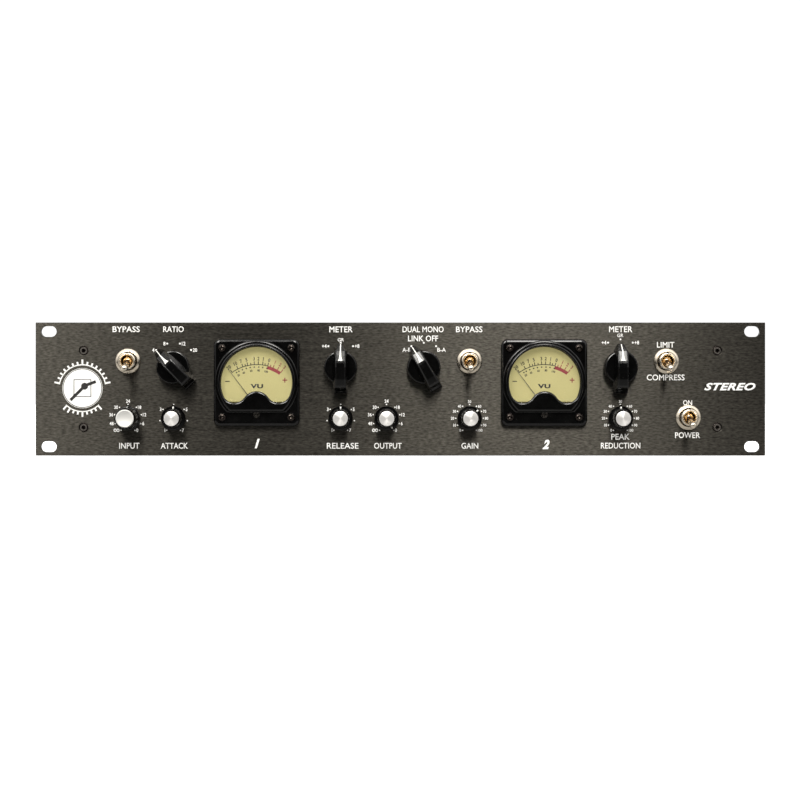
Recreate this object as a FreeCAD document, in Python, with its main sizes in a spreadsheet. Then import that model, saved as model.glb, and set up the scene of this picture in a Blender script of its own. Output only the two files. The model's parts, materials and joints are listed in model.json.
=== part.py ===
"""Two-channel rack compressor, two rack units high, as a parametric assembly.

Frame: the origin is the centre of the four rack slots on the panel's mounting face, +X is to
the right as seen from the front, +Y goes into the rack and +Z is up. Sizes are in millimetres.
"""
import FreeCAD, Part
import math
import os
import re

import Sketcher

Vector = FreeCAD.Vector
Rotation = FreeCAD.Rotation
Placement = FreeCAD.Placement
ALONG_Y = Vector(0, 1, 0)

SIZES = {
    # front panel and its rack slots
    "panel_width": 482.6,
    "panel_height": 88.1,
    "panel_thickness": 3.2,
    "panel_bevel": 0.4,
    "rack_slot_inset": 8.75,
    "rack_slot_drop": 5.95,
    "rack_slot_length": 10.3,
    "rack_slot_width": 7.1,
    # flat-head screws that hold the panel to the case
    "flat_screw_inset": 31.7,
    "flat_screw_rise": 25.4,
    "flat_head_width": 6.6,
    "flat_shank_width": 3.5,
    "flat_screw_length": 9.0,
    "flat_socket_width": 2.3,
    "flat_socket_depth": 1.4,
    # pan-head screws for meters, case, sockets and board
    "pan_head_width": 5.4,
    "pan_head_height": 1.9,
    "pan_shank_width": 3.0,
    "pan_screw_length": 8.0,
    "pan_recess_length": 2.8,
    "pan_recess_width": 0.7,
    "pan_recess_depth": 1.1,
    "screw_clearance": 0.2,
    # case
    "ear_width": 25.4,
    "case_depth": 228.6,
    "case_gap": 0.8,
    "sheet": 1.2,
    "flange": 10.0,
    "skirt": 15.0,
    "skirt_screw_drop": 9.0,
    "skirt_screw_end": 24.0,
    "corner_screw_inset": 5.5,
    "corner_screw_drop": 14.0,
    "vent_length": 44.0,
    "vent_width": 3.0,
    "vent_pitch": 8.0,
    "vent_rows": 8,
    # control columns as shares of half the case width, and the rows they stand on
    "input_column": -0.8346,
    "ratio_column": -0.6948,
    "meter_column": 0.4396,
    "release_column": -0.1830,
    "output_column": -0.0426,
    "link_column": 0.0713,
    "gain_column": 0.2117,
    "peak_column": 0.6739,
    "limit_column": 0.8143,
    "power_column": 0.8814,
    "selector_row": 14.3,
    "toggle_row": 18.5,
    "knob_row": -19.3,
    "power_row": -18.7,
    "meter_row": 4.2,
    # potentiometers
    "pot_width": 17.0,
    "pot_depth": 10.0,
    "pot_bushing_width": 7.0,
    "pot_bushing_proud": 3.0,
    "pot_nut_flats": 10.0,
    "pot_nut_height": 2.0,
    "pot_shaft_width": 6.0,
    "pot_shaft_seat": 5.0,
    "pot_tag_pitch": 5.0,
    "pot_tag_width": 2.0,
    "pot_tag_length": 5.0,
    "pot_tag_root": 3.0,
    "pot_tag_thickness": 1.0,
    "pot_tag_setback": 3.5,
    # selector switches
    "selector_width": 30.0,
    "selector_depth": 28.0,
    "selector_bushing_width": 9.0,
    "selector_bushing_proud": 3.2,
    "selector_nut_flats": 12.0,
    "selector_nut_height": 2.2,
    "selector_shaft_width": 6.35,
    "selector_shaft_seat": 8.0,
    # fits
    "hole_clearance": 0.1,
    "shaft_clearance": 0.05,
    "nut_clearance": 0.4,
    "knob_gap": 0.6,
    "end_gap": 0.5,
    # small pointer knobs
    "knob_skirt_width": 16.0,
    "knob_skirt_height": 2.4,
    "knob_nib": 1.0,
    "knob_height": 14.4,
    "knob_width": 12.4,
    "knob_crown": 3.0,
    "knob_skirt_slope": 1.0,
    "knob_cap_width": 9.8,
    "input_knob_height": 16.4,
    "input_knob_width": 14.4,
    "input_cap_width": 12.2,
    "cap_thickness": 0.8,
    "cap_seat": 0.5,
    # bar-pointer selector knobs
    "selector_disc_width": 22.5,
    "selector_disc_height": 6.6,
    "selector_knob_height": 14.6,
    "selector_tip": 15.8,
    "selector_tail": 16.9,
    "selector_tip_width": 4.4,
    "selector_waist_width": 11.2,
    "selector_tail_width": 9.2,
    "selector_draft": 8.0,
    "selector_nose_height": 3.2,
    "selector_nose_run": 6.0,
    "selector_waist_setback": 2.7,
    "selector_tip_corner": 0.8,
    "selector_tail_corner": 1.0,
    # toggle switches
    "toggle_width": 16.0,
    "toggle_height": 28.0,
    "toggle_depth": 22.0,
    "toggle_bushing_width": 11.9,
    "toggle_bushing_proud": 7.3,
    "toggle_bore": 7.7,
    "toggle_keyway": 1.4,
    "toggle_tail_room": 2.0,
    "toggle_tail_side": 1.0,
    "toggle_lug_pitch": 9.0,
    "toggle_lug_width": 5.0,
    "toggle_lug_thickness": 0.9,
    "toggle_lug_length": 6.0,
    "toggle_nut_width": 16.8,
    "toggle_nut_height": 3.2,
    "toggle_nut_edge": 1.12,
    "toggle_nut_chamfer": 1.4,
    "lever_pivot": 4.5,
    "lever_length": 20.0,
    "lever_tail": 10.0,
    "lever_pivot_width": 7.2,
    "lever_root_width": 3.8,
    "lever_neck_width": 3.2,
    "lever_tip_width": 4.4,
    "lever_tail_width": 2.4,
    "lever_lean": 16.0,
    # moving-coil meters
    "bezel_width": 56.8,
    "bezel_height": 57.6,
    "bezel_corner": 4.3,
    "bezel_thickness": 4.0,
    "bezel_chamfer": 0.9,
    "bezel_wall": 1.3,
    "hub_radius": 25.3,
    "hub_chord": -18.2,
    "hub_height": 3.0,
    "lip": 0.8,
    "window_radius": 23.5,
    "window_rise": 0.3,
    "lobe_radius": 8.0,
    "lobe_spread": 14.5,
    "arch_radius": 9.6,
    "lens_radius": 23.9,
    "lens_chord": -17.4,
    "lens_thickness": 1.0,
    "lens_clearance": 0.2,
    "dial_radius": 23.6,
    "dial_chord": -12.5,
    "dial_thickness": 0.5,
    "can_width": 44.4,
    "can_wall": 1.0,
    "can_depth": 20.8,
    "can_hole": 45.0,
    "can_lip": 0.5,
    "meter_screw_pitch": 45.5,
    "pivot_drop": 16.05,
    "needle_length": 31.2,
    "needle_tail": 3.2,
    "needle_tail_width": 1.4,
    "needle_root_width": 0.6,
    "needle_tip_width": 0.28,
    "needle_thickness": 0.3,
    "needle_gap": 0.9,
    "needle_rest": -37.0,
    "pivot_pin_width": 1.2,
    "needle_hub_width": 3.6,
    "magnet_width": 14.0,
    "magnet_top": 6.0,
    "magnet_gap": 2.2,
    "magnet_setback": 4.0,
    "pin_setback": 5.0,
    "zero_drop": 21.1,
    "zero_width": 4.4,
    "zero_proud": 0.8,
    "zero_slot_width": 0.8,
    "zero_slot_depth": 0.7,
    "zero_pin_throw": 0.9,
    "zero_pin_width": 0.8,
    "zero_pin_length": 1.3,
    # inside the case
    "standoff_height": 8.0,
    "standoff_width": 6.0,
    "board_thickness": 1.6,
    "board_front": 45.0,
    "board_rear_gap": 45.0,
    "board_margin": 10.0,
    "toroid_width": 75.0,
    "toroid_height": 36.0,
    "toroid_hole": 20.0,
    "toroid_side_gap": 64.5,
    "toroid_rear_gap": 78.0,
    "toroid_rounding": 6.0,
    "toroid_plate_thickness": 1.6,
    "toroid_bolt_width": 5.8,
    "toroid_bolt_head_width": 10.0,
    "toroid_bolt_head_height": 4.0,
    "capacitor_width": 16.0,
    "capacitor_height": 30.0,
    "core_width": 26.0,
    "core_depth": 22.0,
    "core_height": 24.0,
    "cell_width": 22.0,
    "cell_height": 38.0,
    # rear sockets
    "socket_row": 4.0,
    "socket_first": 31.0,
    "socket_pitch": 22.5,
    "channel_pitch": 125.0,
    "socket_flange_width": 26.0,
    "socket_flange_height": 31.0,
    "socket_flange_thickness": 2.0,
    "socket_flange_corner": 3.0,
    "socket_screw_side": 9.5,
    "socket_screw_rise": 12.0,
    "socket_body_width": 23.6,
    "socket_body_depth": 28.0,
    "socket_recess_width": 18.8,
    "socket_recess_depth": 14.0,
    "socket_groove_width": 2.2,
    "socket_pin_setback": 2.0,
    "contact_circle": 3.9,
    "contact_width": 2.4,
    "contact_root": 1.0,
    "jack_bore": 6.5,
    "jack_bore_depth": 25.0,
    "jack_body_width": 15.0,
    "jack_collar_width": 11.8,
    "jack_nut_width": 14.0,
    "jack_nut_height": 2.5,
    "jack_collar_proud": 0.5,
    # mains inlet and its fuse drawer
    "inlet_side_gap": 48.0,
    "inlet_flange_width": 50.0,
    "inlet_flange_height": 35.0,
    "inlet_flange_thickness": 2.5,
    "inlet_flange_corner": 4.0,
    "inlet_body_width": 28.0,
    "inlet_body_height": 31.0,
    "inlet_body_depth": 28.0,
    "inlet_recess_width": 25.0,
    "inlet_recess_height": 17.0,
    "inlet_recess_depth": 15.0,
    "inlet_recess_rise": 5.5,
    "inlet_screw_pitch": 40.0,
    "inlet_pin_side": 7.0,
    "inlet_pin_rise": 2.0,
    "inlet_pin_width": 2.0,
    "inlet_pin_height": 4.0,
    "drawer_width": 22.0,
    "drawer_height": 6.4,
    "drawer_depth": 20.0,
    "drawer_drop": 10.0,
    "drawer_clearance": 0.3,
    "drawer_face": 1.6,
    "drawer_wall": 1.0,
    "drawer_floor": 1.2,
    "drawer_rear_wall": 1.5,
    "drawer_front_block": 5.0,
}

doc = FreeCAD.newDocument("RackCompressor")
sheet = doc.addObject("Spreadsheet::Sheet", "Sizes")
for line, (alias, number) in enumerate(SIZES.items(), start=1):
    sheet.set(f"A{line}", alias)
    sheet.set(f"B{line}", str(number))
    sheet.setAlias(f"B{line}", alias)
doc.recompute()

# Formulas that several pieces share, written with the sheet's aliases.
CASE_HALF = "(panel_width / 2 - ear_width)"
TRAY_HALF = f"({CASE_HALF} - sheet)"
ROOF = "(panel_height / 2 - case_gap)"
CEILING = f"({ROOF} - sheet)"
BOARD_TOP = f"(standoff_height + board_thickness - {CEILING})"
SLOT_X = "(panel_width / 2 - rack_slot_inset)"
SLOT_Z = "(panel_height / 2 - rack_slot_drop)"
FLAT_X = "(panel_width / 2 - flat_screw_inset)"
KNOB_BASE = "(panel_thickness + knob_gap)"
BEZEL_FACE = "(panel_thickness + bezel_thickness)"
HUB_FACE = f"({BEZEL_FACE} + hub_height)"
WALL_BACK = f"({BEZEL_FACE} - bezel_wall)"
DIAL_FACE = "(panel_thickness + can_lip + dial_thickness)"
NEEDLE_BACK = f"({DIAL_FACE} + needle_gap)"
TOROID_X = f"({CASE_HALF} - toroid_side_gap)"
TOROID_Y = "(case_depth - toroid_rear_gap)"
BOARD_RIGHT = f"({TOROID_X} - toroid_width / 2 - board_margin)"
BOARD_LEFT = f"(board_margin - {TRAY_HALF})"
BOARD_REAR = "(case_depth - board_rear_gap)"


def column(name):
    """X of a control column."""
    return f"({CASE_HALF} * {name}_column)"


# name, column, rest angle seen from the front (clockwise from the top)
SELECTORS = [
    ("ratio", column("ratio"), -45),
    ("left_meter", column("release"), 0),
    ("link", column("link"), -30),
    ("right_meter", column("peak"), 0),
]
POTS = [
    ("input", column("input"), 0),
    ("attack", column("ratio"), 0),
    ("release", column("release"), 0),
    ("output", column("output"), 150),
    ("gain", column("gain"), 45),
    ("peak", column("peak"), 0),
]
TOGGLES = [
    ("left_bypass", column("input"), "toggle_row"),
    ("right_bypass", column("gain"), "toggle_row"),
    ("limit", column("limit"), "toggle_row"),
    ("power", column("power"), "power_row"),
]
METERS = [("left", f"(-{column('meter')})"), ("right", column("meter"))]
CHANNELS = [f"(socket_first - {CASE_HALF})", f"(socket_first + channel_pitch - {CASE_HALF})"]


# ---------------------------------------------------------------- helpers

def in_sheet(formula):
    """The formula with the sheet's name written before each alias."""
    def named(word):
        return "Sizes." + word[0] if word[0] in SIZES else word[0]
    return re.sub(r"[a-z][a-z_]*[a-z]", named, str(formula))


def value(formula):
    return float(sheet.evalExpression(in_sheet(formula)))


def bind(thing, **formulas):
    """Drive properties of an object from the sheet."""
    for name, formula in formulas.items():
        thing.setExpression(name, in_sheet(formula))


def move(thing, x="0", y="0", z="0", axis=None, angle=0):
    """Place an object by formulas, after turning it about an axis."""
    if axis is not None:
        thing.Placement = Placement(Vector(), Rotation(axis, angle))
    for letter, formula in zip("xyz", (x, y, z)):
        thing.setExpression(f"Placement.Base.{letter}", in_sheet(formula))
    return thing


def new_body(label):
    body = doc.addObject("PartDesign::Body", label)
    body.Label = label
    return body


class Profile:
    """A sketch on one of a body's origin planes, with every point driven from the sheet.

    XZ_Plane faces the front, so a height of 5 lies at y = -5 and a pad grows towards the front.
    """

    def __init__(self, body, plane="XZ_Plane", height="0"):
        self.sketch = body.newObject("Sketcher::SketchObject", "Profile")
        face = next(item for item in body.Origin.OriginFeatures if item.Role == plane)
        self.sketch.AttachmentSupport = [(face, "")]
        self.sketch.MapMode = "FlatFace"
        self.sketch.setExpression("AttachmentOffset.Base.z", in_sheet(height))

    def _size(self, kind, *where):
        """Add one driven dimension: where ends with its formula."""
        formula = where[-1]
        rule = Sketcher.Constraint(kind, *where[:-1], value(formula))
        index = self.sketch.addConstraint(rule)
        self.sketch.setExpression(f"Constraints[{index}]", in_sheet(formula))

    def _pin(self, item, point, x, y):
        self._size("DistanceX", -1, 1, item, point, x)
        self._size("DistanceY", -1, 1, item, point, y)

    def _link(self, kind, first, first_point, second, second_point):
        rule = Sketcher.Constraint(kind, first, first_point, second, second_point)
        self.sketch.addConstraint(rule)

    def polygon(self, *points):
        spots = [Vector(value(x), value(y), 0) for x, y in points]
        edges = [
            self.sketch.addGeometry(Part.LineSegment(spot, spots[(i + 1) % len(spots)]))
            for i, spot in enumerate(spots)
        ]
        for i, edge in enumerate(edges):
            self._link("Coincident", edge, 2, edges[(i + 1) % len(edges)], 1)
            self._pin(edge, 1, *points[i])
        return self

    def rectangle(self, left, bottom, right, top):
        return self.polygon((left, bottom), (right, bottom), (right, top), (left, top))

    def block(self, x, y, width, height):
        """A rectangle about its centre."""
        return self.rectangle(f"{x} - {width} / 2", f"{y} - {height} / 2",
                              f"{x} + {width} / 2", f"{y} + {height} / 2")

    def hexagon(self, flats):
        long, short = f"({flats} / sqrt(3))", f"({flats} / sqrt(3) / 2)"
        half = f"({flats} / 2)"
        return self.polygon((long, "0"), (short, half), (f"-{short}", half),
                            (f"-{long}", "0"), (f"-{short}", f"-{half}"), (short, f"-{half}"))

    def circle(self, x, y, width):
        shape = Part.Circle(Vector(value(x), value(y), 0), Vector(0, 0, 1), value(width) / 2)
        ring = self.sketch.addGeometry(shape)
        self._pin(ring, 3, x, y)
        self._size("Diameter", ring, width)
        return self

    def _arc(self, x, y, radius, start, end):
        circle = Part.Circle(Vector(x, y, 0), Vector(0, 0, 1), radius)
        arc = Part.ArcOfCircle(circle, math.radians(start), math.radians(end))
        return self.sketch.addGeometry(arc)

    def rounded_rectangle(self, x, y, width, height, radius):
        """Four arcs joined by tangent lines."""
        reach_x, reach_y, r = value(width) / 2, value(height) / 2, value(radius)
        middle = Vector(value(x), value(y), 0)
        arcs, lines = [], []
        for turn, (side_x, side_y) in enumerate(((1, 1), (-1, 1), (-1, -1), (1, -1))):
            centre = middle + Vector(side_x * (reach_x - r), side_y * (reach_y - r), 0)
            arcs.append(self._arc(centre.x, centre.y, r, 90 * turn, 90 * turn + 90))
            self._pin(arcs[-1], 3, f"{x} + {side_x} * ({width} / 2 - {radius})",
                      f"{y} + {side_y} * ({height} / 2 - {radius})")
            self._size("Radius", arcs[-1], radius)
        for turn, arc in enumerate(arcs):
            following = arcs[(turn + 1) % 4]
            start = self.sketch.getPoint(arc, 2)
            end = self.sketch.getPoint(following, 1)
            lines.append(self.sketch.addGeometry(Part.LineSegment(start, end)))
            self._link("Tangent", arc, 2, lines[-1], 1)
            self._link("Tangent", lines[-1], 2, following, 1)
        return self

    def slot(self, x, y, length, width):
        """Two half circles joined by level lines."""
        reach, r = (value(length) - value(width)) / 2, value(width) / 2
        arcs = []
        for side in (1, -1):
            arc = self._arc(value(x) + side * reach, value(y), r, -90 * side, 180 - 90 * side)
            self._pin(arc, 3, f"{x} + {side} * ({length} - {width}) / 2", y)
            self._size("Radius", arc, f"{width} / 2")
            arcs.append(arc)
        for first, second in (arcs, arcs[::-1]):
            start = self.sketch.getPoint(first, 2)
            end = self.sketch.getPoint(second, 1)
            edge = self.sketch.addGeometry(Part.LineSegment(start, end))
            self._link("Tangent", first, 2, edge, 1)
            self._link("Tangent", edge, 2, second, 1)
        return self

    def clipped_disc(self, radius, chord):
        """A disc about the sketch's origin, cut off below a level chord."""
        r, low = value(radius), value(chord)
        angle = math.degrees(math.asin(low / r))
        arc = self._arc(0, 0, r, angle, 180 - angle)
        edge = self.sketch.addGeometry(
            Part.LineSegment(self.sketch.getPoint(arc, 2), self.sketch.getPoint(arc, 1)))
        self._pin(arc, 3, "0", "0")
        self._size("Radius", arc, radius)
        for point, other in ((2, 1), (1, 2)):
            self._link("Coincident", arc, point, edge, other)
            self._size("DistanceY", -1, 1, arc, point, chord)
        return self

    def meter_window(self):
        """The lobed window: a large arc, a lobe at each side and an arch between them."""
        big, lobe, arch = value("window_radius"), value("lobe_radius"), value("arch_radius")
        rise, spread = value("window_rise"), value("lobe_spread")
        lobe_y = rise - math.sqrt((big - lobe) ** 2 - spread ** 2)
        arch_y = lobe_y - math.sqrt((arch + lobe) ** 2 - spread ** 2)
        lean = math.degrees(math.atan2(rise - lobe_y, spread))
        dip = math.degrees(math.atan2(lobe_y - arch_y, spread))
        top = self._arc(0, rise, big, -lean, 180 + lean)
        left = self._arc(-spread, lobe_y, lobe, 180 + lean, 360 - dip)
        crest = self._arc(0, arch_y, arch, dip, 180 - dip)
        right = self._arc(spread, lobe_y, lobe, 180 + dip, 360 - lean)
        self._pin(top, 3, "0", "window_rise")
        self._size("Radius", top, "window_radius")
        self._size("Radius", crest, "arch_radius")
        for arc, side in ((left, "-"), (right, "")):
            self._size("Radius", arc, "lobe_radius")
            self._size("DistanceX", -1, 1, arc, 3, f"{side}lobe_spread")
        self._link("Tangent", top, 2, left, 1)
        self._link("Tangent", left, 2, crest, 2)
        self._link("Tangent", crest, 1, right, 1)
        self._link("Tangent", right, 2, top, 1)
        return self


def pad(body, profile, length, inward=False):
    """Grow a profile along its plane's normal, or the other way."""
    feature = body.newObject("PartDesign::Pad", "Pad")
    feature.Profile = profile.sketch
    feature.Reversed = inward
    bind(feature, Length=length)
    return feature


def pocket(body, profile, depth):
    """Cut a profile against its plane's normal, and make sure that it cuts."""
    doc.recompute()
    before = body.Shape.Volume
    feature = body.newObject("PartDesign::Pocket", "Pocket")
    feature.Profile = profile.sketch
    bind(feature, Length=depth)
    doc.recompute()
    if not body.Shape.Volume < before:
        raise RuntimeError(f"a pocket in {body.Label} cuts nothing")
    return feature


def cut_inwards(body, profile, depth):
    """Cut from a rear face towards the front."""
    doc.recompute()
    before = body.Shape.Volume
    feature = body.newObject("PartDesign::Pocket", "Pocket")
    feature.Profile = profile.sketch
    feature.Reversed = True
    bind(feature, Length=depth)
    doc.recompute()
    if not body.Shape.Volume < before:
        raise RuntimeError(f"a cut in {body.Label} cuts nothing")


def revolve(body, points, cut=False):
    """Turn an outline of (y, radius) points about the body's Y axis."""
    profile = Profile(body, "YZ_Plane").polygon(*points)
    kind = "PartDesign::Groove" if cut else "PartDesign::Revolution"
    feature = body.newObject(kind, "Turned")
    feature.Profile = profile.sketch
    feature.ReferenceAxis = (profile.sketch, ["H_Axis"])
    feature.Angle = 360
    return feature


def front_edges(body, level):
    """Names of the edges that lie at a height ahead of the mounting face."""
    doc.recompute()
    y = -value(level)
    return [
        f"Edge{index}" for index, edge in enumerate(body.Shape.Edges, start=1)
        if abs(edge.BoundBox.YMin - y) < 1e-6 and abs(edge.BoundBox.YMax - y) < 1e-6
    ]


def chamfer(body, level, size):
    names = front_edges(body, level)
    base = body.Tip
    feature = body.newObject("PartDesign::Chamfer", "Chamfer")
    feature.Base = (base, names)
    bind(feature, Size=size)
    return feature


def group(label, first, places):
    """A node of alike pieces: the first piece and linked copies, each moved to its place."""
    first.Label = label + "_first"
    pieces = [first]
    for _ in places[1:]:
        copy = doc.addObject("App::Link", label + "_copy")
        copy.LinkedObject = first
        pieces.append(copy)
    for piece, place in zip(pieces, places):
        move(piece, **place)
    return collect(label, pieces)


def collect(label, pieces):
    node = doc.addObject("Part::Compound", label)
    node.Label = label
    node.Links = pieces
    return node


def primitive(kind, **formulas):
    thing = doc.addObject("Part::" + kind, kind)
    bind(thing, **formulas)
    return thing


def fuse(label, pieces):
    node = doc.addObject("Part::MultiFuse", label)
    node.Label = label
    node.Shapes = pieces
    return node


def box(x, y, z, width, depth, height):
    """A block from its centre in X and Y and its lower face in Z."""
    thing = primitive("Box", Length=width, Width=depth, Height=height)
    return move(thing, f"{x} - {width} / 2", f"{y} - {depth} / 2", z)


def post(x, y, z, width, height):
    """An upright cylinder on its lower face."""
    thing = primitive("Cylinder", Radius=f"{width} / 2", Height=height)
    return move(thing, x, y, z)


# ---------------------------------------------------------------- front panel and screws

def front_panel():
    body = new_body("front_panel")
    plate = Profile(body).block("0", "0", "panel_width", "panel_height")
    pad(body, plate, "panel_thickness")
    chamfer(body, "panel_thickness", "panel_bevel")
    slots = Profile(body, height="panel_thickness")
    for x in (SLOT_X, f"-{SLOT_X}"):
        for z in (SLOT_Z, f"-{SLOT_Z}"):
            slots.slot(x, z, "rack_slot_length", "rack_slot_width")
    pocket(body, slots, "panel_thickness")
    holes = Profile(body, height="panel_thickness")
    for _, x, _ in POTS:
        holes.circle(x, "knob_row", "pot_bushing_width + 2 * hole_clearance")
    for _, x, _ in SELECTORS:
        holes.circle(x, "selector_row", "selector_bushing_width + 2 * hole_clearance")
    for _, x, z in TOGGLES:
        holes.circle(x, z, "toggle_bushing_width + 2 * hole_clearance")
    for _, x in METERS:
        holes.circle(x, "meter_row", "can_hole")
        for side in ("+", "-"):
            for level in ("+", "-"):
                holes.circle(f"{x} {side} meter_screw_pitch / 2",
                             f"meter_row {level} meter_screw_pitch / 2", "pan_shank_width")
    pocket(body, holes, "panel_thickness")
    sunk = Profile(body, height="panel_thickness")
    for x in (FLAT_X, f"-{FLAT_X}"):
        for z in ("flat_screw_rise", "-flat_screw_rise"):
            sunk.circle(x, z, "flat_shank_width")
    doc.recompute()
    hole = body.newObject("PartDesign::Hole", "Countersink")
    hole.Profile = sunk.sketch
    doc.recompute()
    hole.DepthType = "ThroughAll"
    hole.HoleCutType = "Countersink"
    hole.HoleCutCountersinkAngle = 90
    bind(hole, Diameter="flat_shank_width + screw_clearance",
         HoleCutDiameter="flat_head_width")
    return body


def panel_screws():
    """Flat-head hexagon-socket screws, flush with the panel."""
    body = new_body("flat_screw")
    head, shank = "(flat_head_width / 2)", "(flat_shank_width / 2)"
    revolve(body, [
        ("-panel_thickness", "0"), ("-panel_thickness", head),
        (f"{head} - {shank} - panel_thickness", shank),
        ("flat_screw_length - panel_thickness", shank),
        ("flat_screw_length - panel_thickness", "0")])
    socket = Profile(body, height="panel_thickness").hexagon("flat_socket_width")
    pocket(body, socket, "flat_socket_depth")
    places = [{"x": x, "z": z} for x in (f"-{FLAT_X}", FLAT_X)
              for z in ("-flat_screw_rise", "flat_screw_rise")]
    return group("panel_screws", body, places)


def pan_screw_places():
    """Every pan-head screw: its seat, with its head turned outwards."""
    places = []
    for _, x in METERS:
        for side in ("+", "-"):
            for level in ("+", "-"):
                places.append({"x": f"{x} {side} meter_screw_pitch / 2", "y": f"-{BEZEL_FACE}",
                               "z": f"meter_row {level} meter_screw_pitch / 2"})
    for side, turn in (("", 90), ("-", -90)):
        for y in ("skirt_screw_end", "case_depth / 2", "case_depth - skirt_screw_end"):
            places.append({"x": f"{side}{CASE_HALF}", "y": y, "z": f"{ROOF} - skirt_screw_drop",
                           "axis": Vector(0, 0, 1), "angle": turn})
    rear = {"axis": Vector(0, 0, 1), "angle": 180}
    for side in ("", "-"):
        for level in ("", "-"):
            places.append({"x": f"{side}({TRAY_HALF} - corner_screw_inset)", "y": "case_depth",
                           "z": f"{level}({CEILING} - corner_screw_drop)", **rear})
    for start in CHANNELS:
        for shift in ("0", "3 * socket_pitch"):
            for side in ("+", "-"):
                places.append({"x": f"{start} + {shift} {side} socket_screw_side",
                               "y": "case_depth + socket_flange_thickness",
                               "z": f"socket_row {side} socket_screw_rise", **rear})
    for side in ("+", "-"):
        places.append({"x": f"{CASE_HALF} - inlet_side_gap {side} inlet_screw_pitch / 2",
                       "y": "case_depth + inlet_flange_thickness", "z": "socket_row", **rear})
    for x, y in standoff_places():
        places.append({"x": x, "y": y, "z": BOARD_TOP, "axis": Vector(1, 0, 0), "angle": -90})
    return places


def pan_screws():
    """Cross-recess pan-head screws; the seat is the piece's own zero, the head is at -Y."""
    body = new_body("pan_screw")
    head, shank = "(pan_head_width / 2)", "(pan_shank_width / 2)"
    revolve(body, [
        ("-pan_head_height", "0"), ("-pan_head_height", f"{head} * 0.6"),
        ("-pan_head_height * 0.55", f"{head} * 0.95"), ("0", head), ("0", shank),
        ("pan_screw_length", shank), ("pan_screw_length", "0")])
    long, narrow = "pan_recess_length", "pan_recess_width"
    for width, height in ((long, narrow), (narrow, long)):
        bar = Profile(body, height="pan_head_height").block("0", "0", width, height)
        pocket(body, bar, "pan_recess_depth")
    return group("pan_screws", body, pan_screw_places())


# ---------------------------------------------------------------- case

def case_tray():
    """Floor and sides bent from one sheet, with flanges turned in at front and rear."""
    body = new_body("case_tray")
    inside = f"({TRAY_HALF} - sheet)"
    section = Profile(body).polygon(
        (f"-{TRAY_HALF}", f"-{ROOF}"), (TRAY_HALF, f"-{ROOF}"), (TRAY_HALF, CEILING),
        (inside, CEILING), (inside, f"-{CEILING}"), (f"-{inside}", f"-{CEILING}"),
        (f"-{inside}", CEILING), (f"-{TRAY_HALF}", CEILING))
    pad(body, section, "case_depth", inward=True)
    for height in ("0", "2 * sheet - case_depth"):
        for side in ("", "-"):
            lip = Profile(body, height=height).rectangle(
                f"{side}({TRAY_HALF} - sheet / 2)", f"-{CEILING} - sheet / 2",
                f"{side}({TRAY_HALF} - flange)", CEILING)
            pad(body, lip, "sheet", inward=True)
    screws = Profile(body, height="0")
    for side in ("", "-"):
        for level in ("", "-"):
            screws.circle(f"{side}{FLAT_X}", f"{level}flat_screw_rise",
                          "flat_shank_width + screw_clearance")
    pocket(body, screws, "2 * sheet")
    rear = Profile(body, height="2 * sheet - case_depth")
    for side in ("", "-"):
        for level in ("", "-"):
            rear.circle(f"{side}({TRAY_HALF} - corner_screw_inset)",
                        f"{level}({CEILING} - corner_screw_drop)",
                        "pan_shank_width + screw_clearance")
    pocket(body, rear, "sheet")
    sides = Profile(body, "YZ_Plane", TRAY_HALF)
    for y in ("skirt_screw_end", "case_depth / 2", "case_depth - skirt_screw_end"):
        sides.circle(y, f"{ROOF} - skirt_screw_drop", "pan_shank_width + screw_clearance")
    pocket(body, sides, f"2 * {TRAY_HALF}")
    return body


def top_cover():
    """Lid with a skirt down each side, outside the tray, and vents over the transformer."""
    body = new_body("top_cover")
    gap = "(sheet / 6)"
    section = Profile(body, height=f"-{gap}").polygon(
        (f"-{CASE_HALF}", f"{ROOF} - skirt"), (f"-{TRAY_HALF}", f"{ROOF} - skirt"),
        (f"-{TRAY_HALF}", CEILING), (TRAY_HALF, CEILING), (TRAY_HALF, f"{ROOF} - skirt"),
        (CASE_HALF, f"{ROOF} - skirt"), (CASE_HALF, ROOF), (f"-{CASE_HALF}", ROOF))
    pad(body, section, f"case_depth - {gap}", inward=True)
    vent = Profile(body, "XY_Plane", ROOF).slot(
        TOROID_X, f"{TOROID_Y} - (vent_rows - 1) * vent_pitch / 2", "vent_length", "vent_width")
    cut = pocket(body, vent, "2 * sheet")
    rows = body.newObject("PartDesign::LinearPattern", "Vents")
    rows.Originals = [cut]
    rows.Direction = (vent.sketch, ["V_Axis"])
    bind(rows, Length="(vent_rows - 1) * vent_pitch", Occurrences="vent_rows")
    body.Tip = rows
    sides = Profile(body, "YZ_Plane", CASE_HALF)
    for y in ("skirt_screw_end", "case_depth / 2", "case_depth - skirt_screw_end"):
        sides.circle(y, f"{ROOF} - skirt_screw_drop", "pan_shank_width + screw_clearance")
    pocket(body, sides, f"2 * {CASE_HALF}")
    return body


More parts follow.
